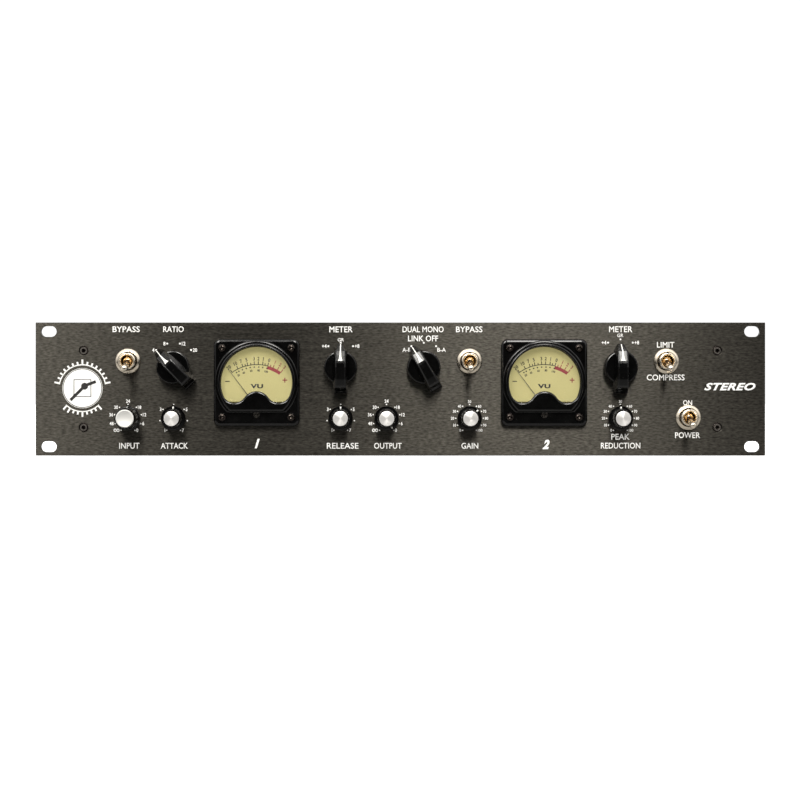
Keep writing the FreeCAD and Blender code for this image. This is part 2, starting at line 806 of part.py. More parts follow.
def rear_panel():
    """Plate screwed to the tray's rear flanges, with its socket and inlet cut-outs."""
    body = new_body("rear_panel")
    plate = Profile(body, height="sheet - case_depth").block(
        "0", "0", f"2 * ({TRAY_HALF} - sheet)", f"2 * {CEILING}")
    pad(body, plate, "sheet", inward=True)
    holes = Profile(body, height="sheet - case_depth")
    for start in CHANNELS:
        for place in range(4):
            width = "socket_body_width" if place in (0, 3) else "jack_collar_width"
            holes.circle(f"{start} + {place} * socket_pitch", "socket_row",
                         f"{width} + 2 * hole_clearance")
    for place in pan_screw_places():
        if place["y"].startswith("case_depth") and place.get("angle") == 180:
            holes.circle(place["x"], place["z"], "pan_shank_width + screw_clearance")
    holes.block(f"{CASE_HALF} - inlet_side_gap", "socket_row",
                "(inlet_body_width + 2 * hole_clearance)",
                "(inlet_body_height + 2 * hole_clearance)")
    pocket(body, holes, "sheet")
    return body


# ---------------------------------------------------------------- inside the case

def standoff_places():
    inset = "standoff_width"
    columns = (f"{BOARD_LEFT} + {inset}", f"({BOARD_LEFT} + {BOARD_RIGHT}) / 2",
               f"{BOARD_RIGHT} - {inset}")
    return [(x, y) for x in columns for y in (f"board_front + {inset}", f"{BOARD_REAR} - {inset}")]


def main_board():
    body = new_body("main_board")
    card = Profile(body, "XY_Plane", f"standoff_height - {CEILING}").rectangle(
        BOARD_LEFT, "board_front", BOARD_RIGHT, BOARD_REAR)
    pad(body, card, "board_thickness")
    holes = Profile(body, "XY_Plane", BOARD_TOP)
    for x, y in standoff_places():
        holes.circle(x, y, "pan_shank_width + screw_clearance")
    pocket(body, holes, "board_thickness")
    return body


def board_standoffs():
    body = new_body("standoff")
    tube = Profile(body, "XY_Plane").circle("0", "0", "standoff_width")
    tube.circle("0", "0", "pan_shank_width + screw_clearance")
    pad(body, tube, "standoff_height")
    places = [{"x": x, "y": y, "z": f"-{CEILING}"} for x, y in standoff_places()]
    return group("board_standoffs", body, places)


def capacitors():
    """Reservoir capacitors in a row at the board's transformer end."""
    first = post("0", "0", "0", "capacitor_width", "capacitor_height")
    places = [{"x": f"{BOARD_RIGHT} - 1.4 * capacitor_width",
               "y": f"board_front + {1.4 + 1.2 * place} * capacitor_width", "z": BOARD_TOP}
              for place in range(4)]
    return group("capacitors", first, places)


def audio_transformers():
    """Laminated core with its coil, three times along the board."""
    core = box("0", "0", "0", "core_width", "core_depth * 0.6", "core_height")
    coil = box("0", "0", "core_height * 0.18", "core_width * 0.62", "core_depth",
               "core_height * 0.64")
    first = fuse("audio_transformer", [core, coil])
    places = [{"x": f"{BOARD_LEFT} + {1.6 + 3 * place} * core_width",
               "y": f"{BOARD_REAR} - 1.7 * core_depth", "z": BOARD_TOP} for place in range(3)]
    return group("audio_transformers", first, places)


def opto_cell():
    """Light-cell attenuator: a can in its valve base."""
    x, y = f"{BOARD_RIGHT} - 4 * capacitor_width", "board_front + 1.6 * cell_width"
    base = post(x, y, BOARD_TOP, "cell_width * 1.25", "cell_height * 0.2")
    can = post(x, y, BOARD_TOP, "cell_width", "cell_height")
    return fuse("opto_cell", [base, can])


def power_transformer():
    """Toroid on the floor, held by a dished plate and a bolt through its middle."""
    floor = f"-{CEILING}"
    ring = primitive("Cut")
    outer = post(TOROID_X, TOROID_Y, floor, "toroid_width", "toroid_height")
    hole = post(TOROID_X, TOROID_Y, floor, "toroid_hole", "toroid_height")
    ring.Base, ring.Tool = outer, hole
    soft = doc.addObject("Part::Fillet", "Winding")
    soft.Base = ring
    doc.recompute()
    rounding = value("toroid_rounding")
    soft.Edges = [(index, rounding, rounding) for index, edge in enumerate(ring.Shape.Edges, start=1)
                  if abs(edge.Length - math.pi * value("toroid_width")) < 1e-3]
    seat, thick = f"{floor} + toroid_height", "toroid_plate_thickness"
    plate = post(TOROID_X, TOROID_Y, seat, "toroid_width * 0.6", thick)
    bolt = fuse("toroid_bolt", [
        post(TOROID_X, TOROID_Y, floor, "toroid_bolt_width", f"toroid_height + {thick}"),
        post(TOROID_X, TOROID_Y, f"{seat} + {thick}", "toroid_bolt_head_width",
             "toroid_bolt_head_height")])
    washer = doc.addObject("Part::Cut", "toroid_plate")
    washer.Base = plate
    washer.Tool = post(TOROID_X, TOROID_Y, seat, "(toroid_bolt_width + screw_clearance)", thick)
    return collect("power_transformer", [soft, washer, bolt])


# ---------------------------------------------------------------- rear sockets

def contact_spots():
    """Three contacts on a circle, one at the top."""
    half = "(contact_circle / 2)"
    side = "(contact_circle * sqrt(3) / 2)"
    return [("0", "contact_circle"), (side, f"-{half}"), (f"-{side}", f"-{half}")]


def socket_shell(label):
    """Square flange on the rear face with a round shell behind it."""
    body = new_body(label)
    plate = Profile(body, height="-socket_flange_thickness").rounded_rectangle(
        "0", "0", "socket_flange_width", "socket_flange_height", "socket_flange_corner")
    pad(body, plate, "socket_flange_thickness")
    shell = Profile(body).circle("0", "0", "socket_body_width")
    pad(body, shell, "socket_body_depth")
    screws = Profile(body, height="0")
    for side in ("", "-"):
        screws.circle(f"{side}socket_screw_side", f"{side}socket_screw_rise",
                      "pan_shank_width + screw_clearance")
    cut = body.newObject("PartDesign::Pocket", "Screws")
    cut.Profile = screws.sketch
    bind(cut, Length="socket_flange_thickness")
    return body


def socket_places(slot):
    return [{"x": f"{start} + {slot} * socket_pitch", "y": "case_depth", "z": "socket_row",
             "axis": Vector(0, 1, 0), "angle": 0} for start in CHANNELS]


def input_sockets():
    """Three-hole sockets: an insulator inside a ring groove that takes the plug's shell."""
    body = socket_shell("input_socket")
    inner = "(socket_recess_width / 2 - socket_groove_width)"
    revolve(body, [
        ("socket_flange_thickness", inner),
        ("socket_flange_thickness", "socket_recess_width / 2"),
        ("socket_flange_thickness - socket_recess_depth", "socket_recess_width / 2"),
        ("socket_flange_thickness - socket_recess_depth", inner)], cut=True)
    holes = Profile(body, height="-socket_flange_thickness")
    for x, z in contact_spots():
        holes.circle(x, z, "contact_width + screw_clearance")
    cut_inwards(body, holes, "socket_recess_depth")
    return group("input_sockets", body, socket_places(0))


def output_sockets():
    """Three-pin sockets: an open recess with pins standing on its floor."""
    body = socket_shell("output_socket")
    recess = Profile(body, height="-socket_flange_thickness").circle(
        "0", "0", "socket_recess_width")
    cut_inwards(body, recess, "socket_recess_depth")
    floor = "socket_recess_depth - socket_flange_thickness"
    pins = Profile(body, height=f"{floor} + contact_root")
    for x, z in contact_spots():
        pins.circle(x, z, "contact_width")
    pad(body, pins, "socket_recess_depth - socket_pin_setback", inward=True)
    return group("output_sockets", body, socket_places(3))


def jack_sockets():
    """Quarter-inch jacks: a body behind the panel, a collar through it and a round nut."""
    body = new_body("jack_socket")
    case = Profile(body, height="sheet").block("0", "0", "jack_body_width", "jack_body_width")
    pad(body, case, "jack_bore_depth")
    collar = Profile(body, height="sheet").circle("0", "0", "jack_collar_width")
    pad(body, collar, "sheet + jack_nut_height + jack_collar_proud", inward=True)
    nut = Profile(body).circle("0", "0", "jack_nut_width")
    pad(body, nut, "jack_nut_height", inward=True)
    bore = Profile(body, height="-jack_nut_height - jack_collar_proud").circle(
        "0", "0", "jack_bore")
    cut_inwards(body, bore, "jack_bore_depth")
    places = socket_places(1) + socket_places(2)
    return group("jack_sockets", body, places)


def mains_inlet():
    """Three-pin inlet in an open recess, over the slot of its fuse drawer."""
    body = new_body("mains_inlet")
    plate = Profile(body, height="-inlet_flange_thickness").rounded_rectangle(
        "0", "0", "inlet_flange_width", "inlet_flange_height", "inlet_flange_corner")
    pad(body, plate, "inlet_flange_thickness")
    shell = Profile(body).block("0", "0", "inlet_body_width", "inlet_body_height")
    pad(body, shell, "inlet_body_depth")
    recess = Profile(body, height="-inlet_flange_thickness").block(
        "0", "inlet_recess_rise", "inlet_recess_width", "inlet_recess_height")
    cut_inwards(body, recess, "inlet_recess_depth")
    slot = Profile(body, height="-inlet_flange_thickness").block(
        "0", "-drawer_drop", "(drawer_width + 2 * drawer_clearance)",
        "(drawer_height + 2 * drawer_clearance)")
    cut_inwards(body, slot, "drawer_depth + drawer_clearance")
    screws = Profile(body, height="-inlet_flange_thickness")
    for side in ("", "-"):
        screws.circle(f"{side}inlet_screw_pitch / 2", "0", "pan_shank_width + screw_clearance")
    cut_inwards(body, screws, "inlet_flange_thickness")
    pins = Profile(body, height="inlet_recess_depth - inlet_flange_thickness + contact_root")
    for side, level in ((-1, 1), (1, 1), (0, -1)):
        pins.block(f"{side} * inlet_pin_side", f"(inlet_recess_rise + {level} * inlet_pin_rise)",
                   "inlet_pin_width", "inlet_pin_height")
    pad(body, pins, "inlet_recess_depth - contact_root", inward=True)
    move(body, f"{CASE_HALF} - inlet_side_gap", "case_depth", "socket_row")
    return body


def fuse_drawer():
    """Drawer with a trough for the fuse and a face that covers its slot."""
    body = new_body("fuse_drawer")
    face = Profile(body, height="-inlet_flange_thickness").block(
        "0", "-drawer_drop", "(drawer_width + 2 * drawer_wall)",
        "(drawer_height + drawer_floor)")
    pad(body, face, "drawer_face", inward=True)
    tray = Profile(body, height="-inlet_flange_thickness").block(
        "0", "-drawer_drop", "drawer_width", "drawer_height")
    pad(body, tray, "drawer_depth")
    trough = Profile(body, "XY_Plane", "drawer_height / 2 - drawer_drop").rectangle(
        "drawer_wall - drawer_width / 2",
        "inlet_flange_thickness - drawer_depth + drawer_rear_wall",
        "drawer_width / 2 - drawer_wall", "inlet_flange_thickness - drawer_front_block")
    pocket(body, trough, "drawer_height - drawer_floor")
    move(body, f"{CASE_HALF} - inlet_side_gap", "case_depth", "socket_row")
    return body


# ---------------------------------------------------------------- meters

def meter_places():
    return [{"x": x, "z": "meter_row"} for _, x in METERS]


def meter_bezels():
    """Square moulded frame with a round raised hub and a lobed window."""
    body = new_body("bezel")
    plate = Profile(body, height="panel_thickness").rounded_rectangle(
        "0", "0", "bezel_width", "bezel_height", "bezel_corner")
    pad(body, plate, "bezel_thickness")
    chamfer(body, BEZEL_FACE, "bezel_chamfer")
    hub = Profile(body, height=BEZEL_FACE).clipped_disc("hub_radius", "hub_chord")
    pad(body, hub, "hub_height")
    window = Profile(body, height=HUB_FACE).meter_window()
    pocket(body, window, "lip + lens_thickness")
    seat = Profile(body, height=f"{HUB_FACE} - lip").clipped_disc(
        "lens_radius + lens_clearance", "lens_chord - lens_clearance")
    pocket(body, seat, "hub_height - lip + bezel_wall")
    hollow = Profile(body, height=WALL_BACK).circle("0", "0", "2 * lens_radius")
    pocket(body, hollow, "bezel_thickness - bezel_wall")
    screws = Profile(body, height=BEZEL_FACE)
    for side in ("", "-"):
        for level in ("", "-"):
            screws.circle(f"{side}meter_screw_pitch / 2", f"{level}meter_screw_pitch / 2",
                          "pan_shank_width + screw_clearance")
    screws.circle("0", "-zero_drop", "zero_width + 2 * hole_clearance")
    pocket(body, screws, "bezel_thickness")
    return group("meter_bezels", body, meter_places())


def meter_lenses():
    body = new_body("lens")
    glass = Profile(body, height=f"{HUB_FACE} - lip - lens_thickness").clipped_disc(
        "lens_radius", "lens_chord")
    pad(body, glass, "lens_thickness")
    return group("meter_lenses", body, meter_places())


def meter_dials():
    body = new_body("dial")
    card = Profile(body, height="panel_thickness + can_lip").clipped_disc(
        "dial_radius", "dial_chord")
    pad(body, card, "dial_thickness")
    return group("meter_dials", body, meter_places())


def meter_cans():
    """Deep-drawn can whose lip lies between the bezel and the panel."""
    body = new_body("meter_can")
    outer, inner = "(can_width / 2)", "(can_width / 2 - can_wall)"
    lip = "(lens_radius - lens_clearance)"
    revolve(body, [
        ("-panel_thickness - can_lip", inner), ("-panel_thickness - can_lip", lip),
        ("-panel_thickness", lip), ("-panel_thickness", outer), ("can_depth", outer),
        ("can_depth", "0"), ("can_depth - can_wall", "0"), ("can_depth - can_wall", inner)])
    return group("meter_cans", body, meter_places())


def meter_movements():
    """Magnet block on the can's floor, with the pin that carries the needle."""
    body = new_body("movement")
    magnet = Profile(body, height="can_wall - can_depth").rectangle(
        "-magnet_width / 2", "-can_width / 2 + can_wall + magnet_gap", "magnet_width / 2",
        "magnet_top")
    pad(body, magnet, "can_depth - can_wall - magnet_setback")
    pin = Profile(body, height="-pin_setback").circle("0", "-pivot_drop", "pivot_pin_width")
    pad(body, pin, f"pin_setback + {NEEDLE_BACK} - needle_thickness")
    return group("meter_movements", body, meter_places())


def needle(name, x):
    """Tapered blade and balance tail on a hub that turns on the movement's pin."""
    body = new_body(f"{name}_needle")
    pin_end = f"({NEEDLE_BACK} - needle_thickness / 2)"
    hub = Profile(body, height="1").circle("0", "0", "needle_hub_width")
    hub.circle("0", "0", "pivot_pin_width + 2 * shaft_clearance")
    pad(body, hub, f"{pin_end} - 1")
    boss = Profile(body, height=pin_end).circle("0", "0", "needle_hub_width")
    pad(body, boss, "2 * needle_thickness")
    blade = Profile(body, height=NEEDLE_BACK).polygon(
        ("-needle_tail_width / 2", "-needle_tail"), ("needle_tail_width / 2", "-needle_tail"),
        ("needle_root_width / 2", "0"), ("needle_tip_width / 2", "needle_length"),
        ("-needle_tip_width / 2", "needle_length"), ("-needle_root_width / 2", "0"))
    pad(body, blade, "needle_thickness")
    return move(body, x, "0", "meter_row - pivot_drop", ALONG_Y, value("needle_rest"))


def zero_screw(name, x):
    """Slotted screw in the bezel with an eccentric pin behind it."""
    body = new_body(f"{name}_zero_screw")
    barrel = Profile(body, height=WALL_BACK).circle("0", "0", "zero_width")
    pad(body, barrel, "bezel_wall + zero_proud")
    slot = Profile(body, height=f"{BEZEL_FACE} + zero_proud").block(
        "0", "0", "zero_width", "zero_slot_width")
    pocket(body, slot, "zero_slot_depth")
    pin = Profile(body, height=f"{WALL_BACK} - zero_pin_length").circle(
        "0", "-zero_pin_throw", "zero_pin_width")
    pad(body, pin, "zero_pin_length")
    return move(body, x, "0", "meter_row - zero_drop")


# ---------------------------------------------------------------- controls

def potentiometers():
    """Round pot behind the panel, its bushing through it, three tags below."""
    body = new_body("potentiometer")
    bore = "(pot_shaft_width / 2 + shaft_clearance)"
    tip, front = "(-panel_thickness - pot_bushing_proud)", "0"
    revolve(body, [
        (tip, bore), (tip, "pot_bushing_width / 2"), (front, "pot_bushing_width / 2"),
        (front, "pot_width / 2"), ("pot_depth", "pot_width / 2"), ("pot_depth", "0"),
        ("pot_shaft_seat + end_gap", "0"), ("pot_shaft_seat + end_gap", bore)])
    tags = Profile(body, height="-pot_tag_setback")
    for side in (-1, 0, 1):
        middle, half = f"{side} * pot_tag_pitch", "pot_tag_width / 2"
        tags.rectangle(f"{middle} - {half}", "-pot_width / 2 - pot_tag_length",
                       f"{middle} + {half}", "pot_tag_root - pot_width / 2")
    pad(body, tags, "pot_tag_thickness")
    places = [{"x": x, "z": "knob_row"} for _, x, _ in POTS]
    return group("potentiometers", body, places)


def selector_switches():
    """Wafer switch: front plate, core and two contact wafers on a threaded bushing."""
    body = new_body("selector_switch")
    bore = "(selector_shaft_width / 2 + shaft_clearance)"
    wide, core = "(selector_width / 2)", "(selector_width / 4)"
    tip = "(-panel_thickness - selector_bushing_proud)"
    outline = [(tip, bore), (tip, "selector_bushing_width / 2"),
               ("0", "selector_bushing_width / 2")]
    for start, end in ((0, 0.1), (0.4, 0.48), (0.8, 0.88)):
        radius = core if start else "(selector_bushing_width / 2)"
        outline += [(f"selector_depth * {start}", radius), (f"selector_depth * {start}", wide),
                    (f"selector_depth * {end}", wide), (f"selector_depth * {end}", core)]
    outline = outline[:2] + outline[3:]
    outline += [("selector_depth", core), ("selector_depth", "0"),
                ("selector_shaft_seat + end_gap", "0"), ("selector_shaft_seat + end_gap", bore)]
    revolve(body, outline)
    places = [{"x": x, "z": "selector_row"} for _, x, _ in SELECTORS]
    return group("selector_switches", body, places)


def toggle_switches():
    """Switch block behind the panel with a bored, keyed bushing for the lever."""
    body = new_body("toggle_switch")
    block = Profile(body).block("0", "0", "toggle_width", "toggle_height")
    pad(body, block, "toggle_depth", inward=True)
    bushing = Profile(body).circle("0", "0", "toggle_bushing_width")
    pad(body, bushing, "panel_thickness + toggle_bushing_proud")
    mouth = "(-panel_thickness - toggle_bushing_proud)"
    tail = "(lever_tail - lever_pivot + toggle_tail_room)"
    wide = "(toggle_bore / 2 + toggle_tail_side)"
    revolve(body, [(mouth, "0"), (mouth, "toggle_bore / 2"), ("1", "toggle_bore / 2"),
                   ("1", wide), (tail, wide), (tail, "0")], cut=True)
    key = Profile(body, height="panel_thickness + toggle_bushing_proud").block(
        "0", "toggle_bushing_width / 2", "toggle_keyway", "toggle_keyway")
    pocket(body, key, "toggle_bushing_proud")
    lugs = Profile(body, height="-toggle_depth")
    for step in (-1, 0, 1):
        lugs.block("0", f"{step} * toggle_lug_pitch", "toggle_lug_width", "toggle_lug_thickness")
    pad(body, lugs, "toggle_lug_length", inward=True)
    places = [{"x": x, "z": z} for _, x, z in TOGGLES]
    return group("toggle_switches", body, places)


def hex_nut(label, flats, bore, height):
    body = new_body(label)
    outline = Profile(body, height="panel_thickness").hexagon(flats).circle("0", "0", bore)
    pad(body, outline, height)
    return body


def panel_nuts():
    """Hexagon nuts hidden under the knobs and round dress nuts round the toggles."""
    small = hex_nut("pot_nut", "pot_nut_flats", "pot_bushing_width", "pot_nut_height")
    large = hex_nut("selector_nut", "selector_nut_flats", "selector_bushing_width",
                    "selector_nut_height")
    dress = new_body("dress_nut")
    face = "(-panel_thickness - toggle_nut_height)"
    bore, wide = "(toggle_bushing_width / 2)", "(toggle_nut_width / 2)"
    slope = f"min(toggle_nut_chamfer; ({wide} - {bore}) * 0.6)"
    revolve(dress, [("-panel_thickness", bore), ("-panel_thickness", wide),
                    ("-panel_thickness - toggle_nut_edge", wide),
                    (face, f"{wide} - {slope}"), (face, bore)])
    nodes = [
        group("pot_nuts", small, [{"x": x, "z": "knob_row"} for _, x, _ in POTS]),
        group("selector_nuts", large, [{"x": x, "z": "selector_row"} for _, x, _ in SELECTORS]),
        group("dress_nuts", dress, [{"x": x, "z": z} for _, x, z in TOGGLES])]
    return collect("panel_nuts", nodes)


def shaft(name, x, z, width, seat, reach):
    """Control shaft from inside its switch or pot to the bottom of the knob's bore."""
    rod = primitive("Cylinder", Radius=f"{width} / 2", Height=f"{seat} + {reach}")
    rod.Label = f"{name}_shaft"
    return move(rod, x, seat, z, Vector(1, 0, 0), 90)


def small_knob(name, x, angle, width, height, cap):
    """Skirted pointer knob, hollow over its nut, bored for its shaft, recessed for its cap."""
    body = new_body(f"{name}_knob")
    base, top = f"(-{KNOB_BASE})", f"(-{KNOB_BASE} - {height})"
    roof = "(-panel_thickness - pot_bushing_proud - end_gap)"
    skirt = f"({base} - knob_skirt_height)"
    nut = "(pot_nut_flats / sqrt(3) + nut_clearance)"
    revolve(body, [
        (f"{top} + knob_crown", "0"), (f"{top} + knob_crown", "pot_shaft_width / 2"),
        (roof, "pot_shaft_width / 2"), (roof, nut), (base, nut),
        (base, "knob_skirt_width / 2"), (skirt, "knob_skirt_width / 2"),
        (f"{skirt} - knob_skirt_slope", f"{width} / 2 + 0.1"), (f"{top} + 0.4", f"{width} / 2 - 0.5"),
        (top, f"{width} / 2 - 0.8"), (top, f"{cap} / 2 + hole_clearance"),
        (f"{top} + cap_seat", f"{cap} / 2 + hole_clearance"), (f"{top} + cap_seat", "0")])
    nib = Profile(body, height=KNOB_BASE).polygon(
        ("-1.3", "knob_skirt_width / 2 - 1"), ("1.3", "knob_skirt_width / 2 - 1"),
        ("0.5", "knob_skirt_width / 2 + knob_nib"), ("-0.5", "knob_skirt_width / 2 + knob_nib"))
    pad(body, nib, "knob_skirt_height")
    move(body, x, "0", "knob_row", ALONG_Y, angle)
    disc = primitive("Cylinder", Radius=f"{cap} / 2", Height="cap_thickness")
    disc.Label = f"{name}_cap"
    move(disc, x, f"{top} + cap_seat", "knob_row", Vector(1, 0, 0), 90)
    rod = shaft(name, x, "knob_row", "pot_shaft_width", "pot_shaft_seat",
                f"{KNOB_BASE} + {height} - knob_crown")
    return [body, disc, rod]


def selector_knob(name, x, angle):
    """Round base with a drafted bar pointer across it and a sloped nose."""
    body = new_body(f"{name}_knob")
    base, bore = f"(-{KNOB_BASE})", "(selector_shaft_width / 2)"
    disc = f"({base} - selector_disc_height)"
    top = f"(-{KNOB_BASE} - selector_knob_height)"
    roof = "(-panel_thickness - selector_bushing_proud - end_gap)"
    nut = "(selector_nut_flats / sqrt(3) + nut_clearance)"
    wide = "(selector_disc_width / 2)"
    waist, corner = "selector_waist_setback", "selector_tail_corner"
    bar = Profile(body, height=KNOB_BASE).polygon(
        ("-selector_tip_width * 0.35", "selector_tip"),
        ("selector_tip_width * 0.35", "selector_tip"),
        ("selector_tip_width / 2", "selector_tip - selector_tip_corner"),
        ("selector_waist_width / 2", f"{wide} - {waist}"),
        ("selector_waist_width / 2", f"{waist} - {wide}"),
        ("selector_tail_width / 2", f"{corner} - selector_tail"),
        (f"selector_tail_width / 2 - {corner}", "-selector_tail"),
        (f"{corner} - selector_tail_width / 2", "-selector_tail"),
        ("-selector_tail_width / 2", f"{corner} - selector_tail"),
        ("-selector_waist_width / 2", f"{waist} - {wide}"),
        ("-selector_waist_width / 2", f"{wide} - {waist}"),
        ("-selector_tip_width / 2", "selector_tip - selector_tip_corner"))
    grip = pad(body, bar, "selector_knob_height")
    grip.setExpression("TaperAngle", in_sheet("-selector_draft"))
    revolve(body, [(base, "0"), (base, wide), (f"{base} - 1", wide),
                   (f"{disc} + 1.5", f"{wide} - 0.8"), (disc, f"{wide} - 2.4"), (disc, "0")])
    crown = f"{top} + knob_crown"
    revolve(body, [(base, "0"), (base, nut), (roof, nut), (roof, bore), (crown, bore),
                   (crown, "0")], cut=True)
    nose = Profile(body, "YZ_Plane", f"-{wide}").polygon(
        (f"{top} - 1", "selector_tip - selector_nose_run"), (f"{top} - 1", "selector_tip + 3"),
        (f"{base} - selector_nose_height", "selector_tip + 3"),
        (f"{base} - selector_nose_height", "selector_tip"))
    cut = body.newObject("PartDesign::Pocket", "Nose")
    cut.Profile = nose.sketch
    cut.Reversed = True
    bind(cut, Length="selector_disc_width")
    move(body, x, "0", "selector_row", ALONG_Y, angle)
    rod = shaft(name, x, "selector_row", "selector_shaft_width", "selector_shaft_seat",
                f"{KNOB_BASE} + selector_knob_height - knob_crown")
    return [body, rod]


def lever(name, x, z):
    """Bat lever on a ball pivot inside the bushing, with its tail in the switch."""
    upright = Vector(1, 0, 0)
    ball = primitive("Sphere", Radius="lever_pivot_width / 2")
    stem = primitive("Cone", Radius1="lever_root_width / 2", Radius2="lever_neck_width / 2",
                     Height="lever_length - lever_tip_width / 2")
    move(stem, axis=upright, angle=90)
    tip = primitive("Sphere", Radius="lever_tip_width / 2")
    move(tip, y="lever_tip_width / 2 - lever_length")
    tail = primitive("Cylinder", Radius="lever_tail_width / 2", Height="lever_tail")
    move(tail, axis=upright, angle=-90)
    node = fuse(f"{name}_lever", [ball, stem, tip, tail])
    return move(node, x, "-lever_pivot", z, upright, value("lever_lean"))


# ---------------------------------------------------------------- build, check and write

nodes = [
    front_panel(), panel_screws(), pan_screws(),
    case_tray(), top_cover(), rear_panel(),
    main_board(), board_standoffs(), capacitors(), audio_transformers(), opto_cell(),
    power_transformer(),
    input_sockets(), output_sockets(), jack_sockets(), mains_inlet(), fuse_drawer(),
    meter_bezels(), meter_lenses(), meter_dials(), meter_cans(), meter_movements(),
    potentiometers(), selector_switches(), toggle_switches(), panel_nuts(),
]
for side, place in METERS:
    nodes += [needle(side, place), zero_screw(side, place)]
for title, place, rest in POTS:
    big = title == "input"
    nodes += small_knob(title, place, rest,
                        "input_knob_width" if big else "knob_width",
                        "input_knob_height" if big else "knob_height",
                        "input_cap_width" if big else "knob_cap_width")
for title, place, rest in SELECTORS:
    nodes += selector_knob(title, place, rest)
for title, place, level in TOGGLES:
    nodes.append(lever(title, place, level))
doc.recompute()

for item in doc.Objects:
    if "Invalid" in item.State or "Error" in item.State:
        raise RuntimeError(f"{item.Label} failed: {item.State}")
for node in nodes:
    if node.Shape.isNull() or not node.Shape.isValid():
        raise RuntimeError(f"{node.Label} has no sound shape")

os.makedirs("parts", exist_ok=True)
for node in nodes:
    node.Shape.exportStep(f"parts/{node.Label}.step")
    print(f"{node.Label}: {len(node.Shape.Solids)} solids, {node.Shape.Volume:.1f} mm3")
print(f"{len(nodes)} nodes")
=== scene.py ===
"""Rack compressor: finishes, fine shapes and printing, built round the fixed model."""
import json
import math

import bmesh
import bpy
from bpy.props import FloatProperty, FloatVectorProperty, IntProperty, PointerProperty
from mathutils import Matrix, Vector


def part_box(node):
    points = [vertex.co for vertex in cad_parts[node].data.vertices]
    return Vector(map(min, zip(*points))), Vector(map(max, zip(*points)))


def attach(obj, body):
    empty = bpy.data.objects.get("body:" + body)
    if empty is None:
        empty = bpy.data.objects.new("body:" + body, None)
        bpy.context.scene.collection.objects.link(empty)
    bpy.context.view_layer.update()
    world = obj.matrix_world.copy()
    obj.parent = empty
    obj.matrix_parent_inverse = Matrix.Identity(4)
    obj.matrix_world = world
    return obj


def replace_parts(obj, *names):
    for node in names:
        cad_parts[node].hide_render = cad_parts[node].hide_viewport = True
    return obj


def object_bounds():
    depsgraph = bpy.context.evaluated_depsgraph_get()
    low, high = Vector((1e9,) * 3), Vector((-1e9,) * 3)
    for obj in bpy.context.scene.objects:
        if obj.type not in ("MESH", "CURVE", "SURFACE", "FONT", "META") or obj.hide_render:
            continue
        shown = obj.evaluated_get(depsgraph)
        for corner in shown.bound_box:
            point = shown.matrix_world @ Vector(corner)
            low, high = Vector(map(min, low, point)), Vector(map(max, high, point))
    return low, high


bl_info = {
    "name": "Rack Compressor",
    "version": (1, 0, 0),
    "blender": (4, 5, 0),
    "location": "3D View > Sidebar > Rack",
    "description": "Builds the finishes and fine shapes of a two-channel rack compressor",
    "category": "Object",
}

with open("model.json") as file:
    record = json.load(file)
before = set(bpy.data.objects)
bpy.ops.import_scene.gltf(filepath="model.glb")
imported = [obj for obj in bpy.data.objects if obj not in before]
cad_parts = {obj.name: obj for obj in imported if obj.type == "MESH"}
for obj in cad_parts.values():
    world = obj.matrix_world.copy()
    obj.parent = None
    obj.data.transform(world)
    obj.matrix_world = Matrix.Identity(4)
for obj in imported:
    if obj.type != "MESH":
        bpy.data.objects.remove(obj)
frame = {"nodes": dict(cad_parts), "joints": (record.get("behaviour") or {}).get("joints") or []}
CAD_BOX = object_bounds()

MM = 0.001
SAME_SPOT = 1e-7
JOINTS = {joint["name"]: joint for joint in frame["joints"]}
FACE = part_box("front_panel")[0].y
BEZEL_LOW, BEZEL_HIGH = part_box("meter_bezels")
METER_Z = (BEZEL_LOW.z + BEZEL_HIGH.z) / 2
DIAL_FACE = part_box("meter_dials")[0].y
FIRST_MARK = {"pot": -150.0, "ratio": -45.0, "left_meter": -30.0, "link": -30.0,
              "right_meter": -30.0}
SELECTORS = ("ratio", "left_meter", "link", "right_meter")
POTS = ("input", "attack", "release", "output", "gain", "peak")
TOGGLES = ("left_bypass", "right_bypass", "limit", "power")
METERS = ("left", "right")

# printing: thickness of the ink and how far it swells a letter's strokes
INK_DEPTH = 0.03
LEGEND_WEIGHT = 0.012
MARK_WEIGHT = 0.02
NUMBER_WEIGHT = 0.05
UNIT_WEIGHT = 0.035
BOLD_SLANT = 0.35
LETTER_WIDTH = 0.86

# fits shared by the knobs and what they cover, in millimetres
KNOB_GAP = 0.6
NUT_HOLLOW_RADIUS = 6.1
CAP_WALL = 1.3
BEHIND_PANEL = 3.2


# ---------------------------------------------------------------- places

def spot(joint):
    """Where a joint's axis meets the panel, as (x, z)."""
    x, _, z = JOINTS[joint]["pos_m"]
    return x, z


def meter_spot(side):
    """The middle of a meter's bezel, as (x, z)."""
    return spot(f"{side}_needle_swing")[0], METER_Z


def rest_turn(name):
    """A knob's angle at rest, clockwise from the top."""
    first = FIRST_MARK.get(name, FIRST_MARK["pot"])
    return first - JOINTS[f"{name}_turn"]["range_deg"][0]


def facing(x, z, height=0.0, turn=0.0):
    """From a control's own space (X right, Y up, Z to the front) to its place on the panel."""
    return (Matrix.Translation((x, FACE - height, z)) @ Matrix.Rotation(math.pi / 2, 4, "X")
            @ Matrix.Rotation(-math.radians(turn), 4, "Z"))


def arc(x, y, radius, start, end, steps):
    """Points along an arc, in degrees anticlockwise from the right."""
    turns = [math.radians(start + (end - start) * i / steps) for i in range(steps + 1)]
    return [(x + radius * math.cos(a), y + radius * math.sin(a)) for a in turns]


def on_dial(angle, radius):
    """A point at an angle clockwise from the top."""
    turn = math.radians(angle)
    return radius * math.sin(turn), radius * math.cos(turn)


# ---------------------------------------------------------------- mesh helpers

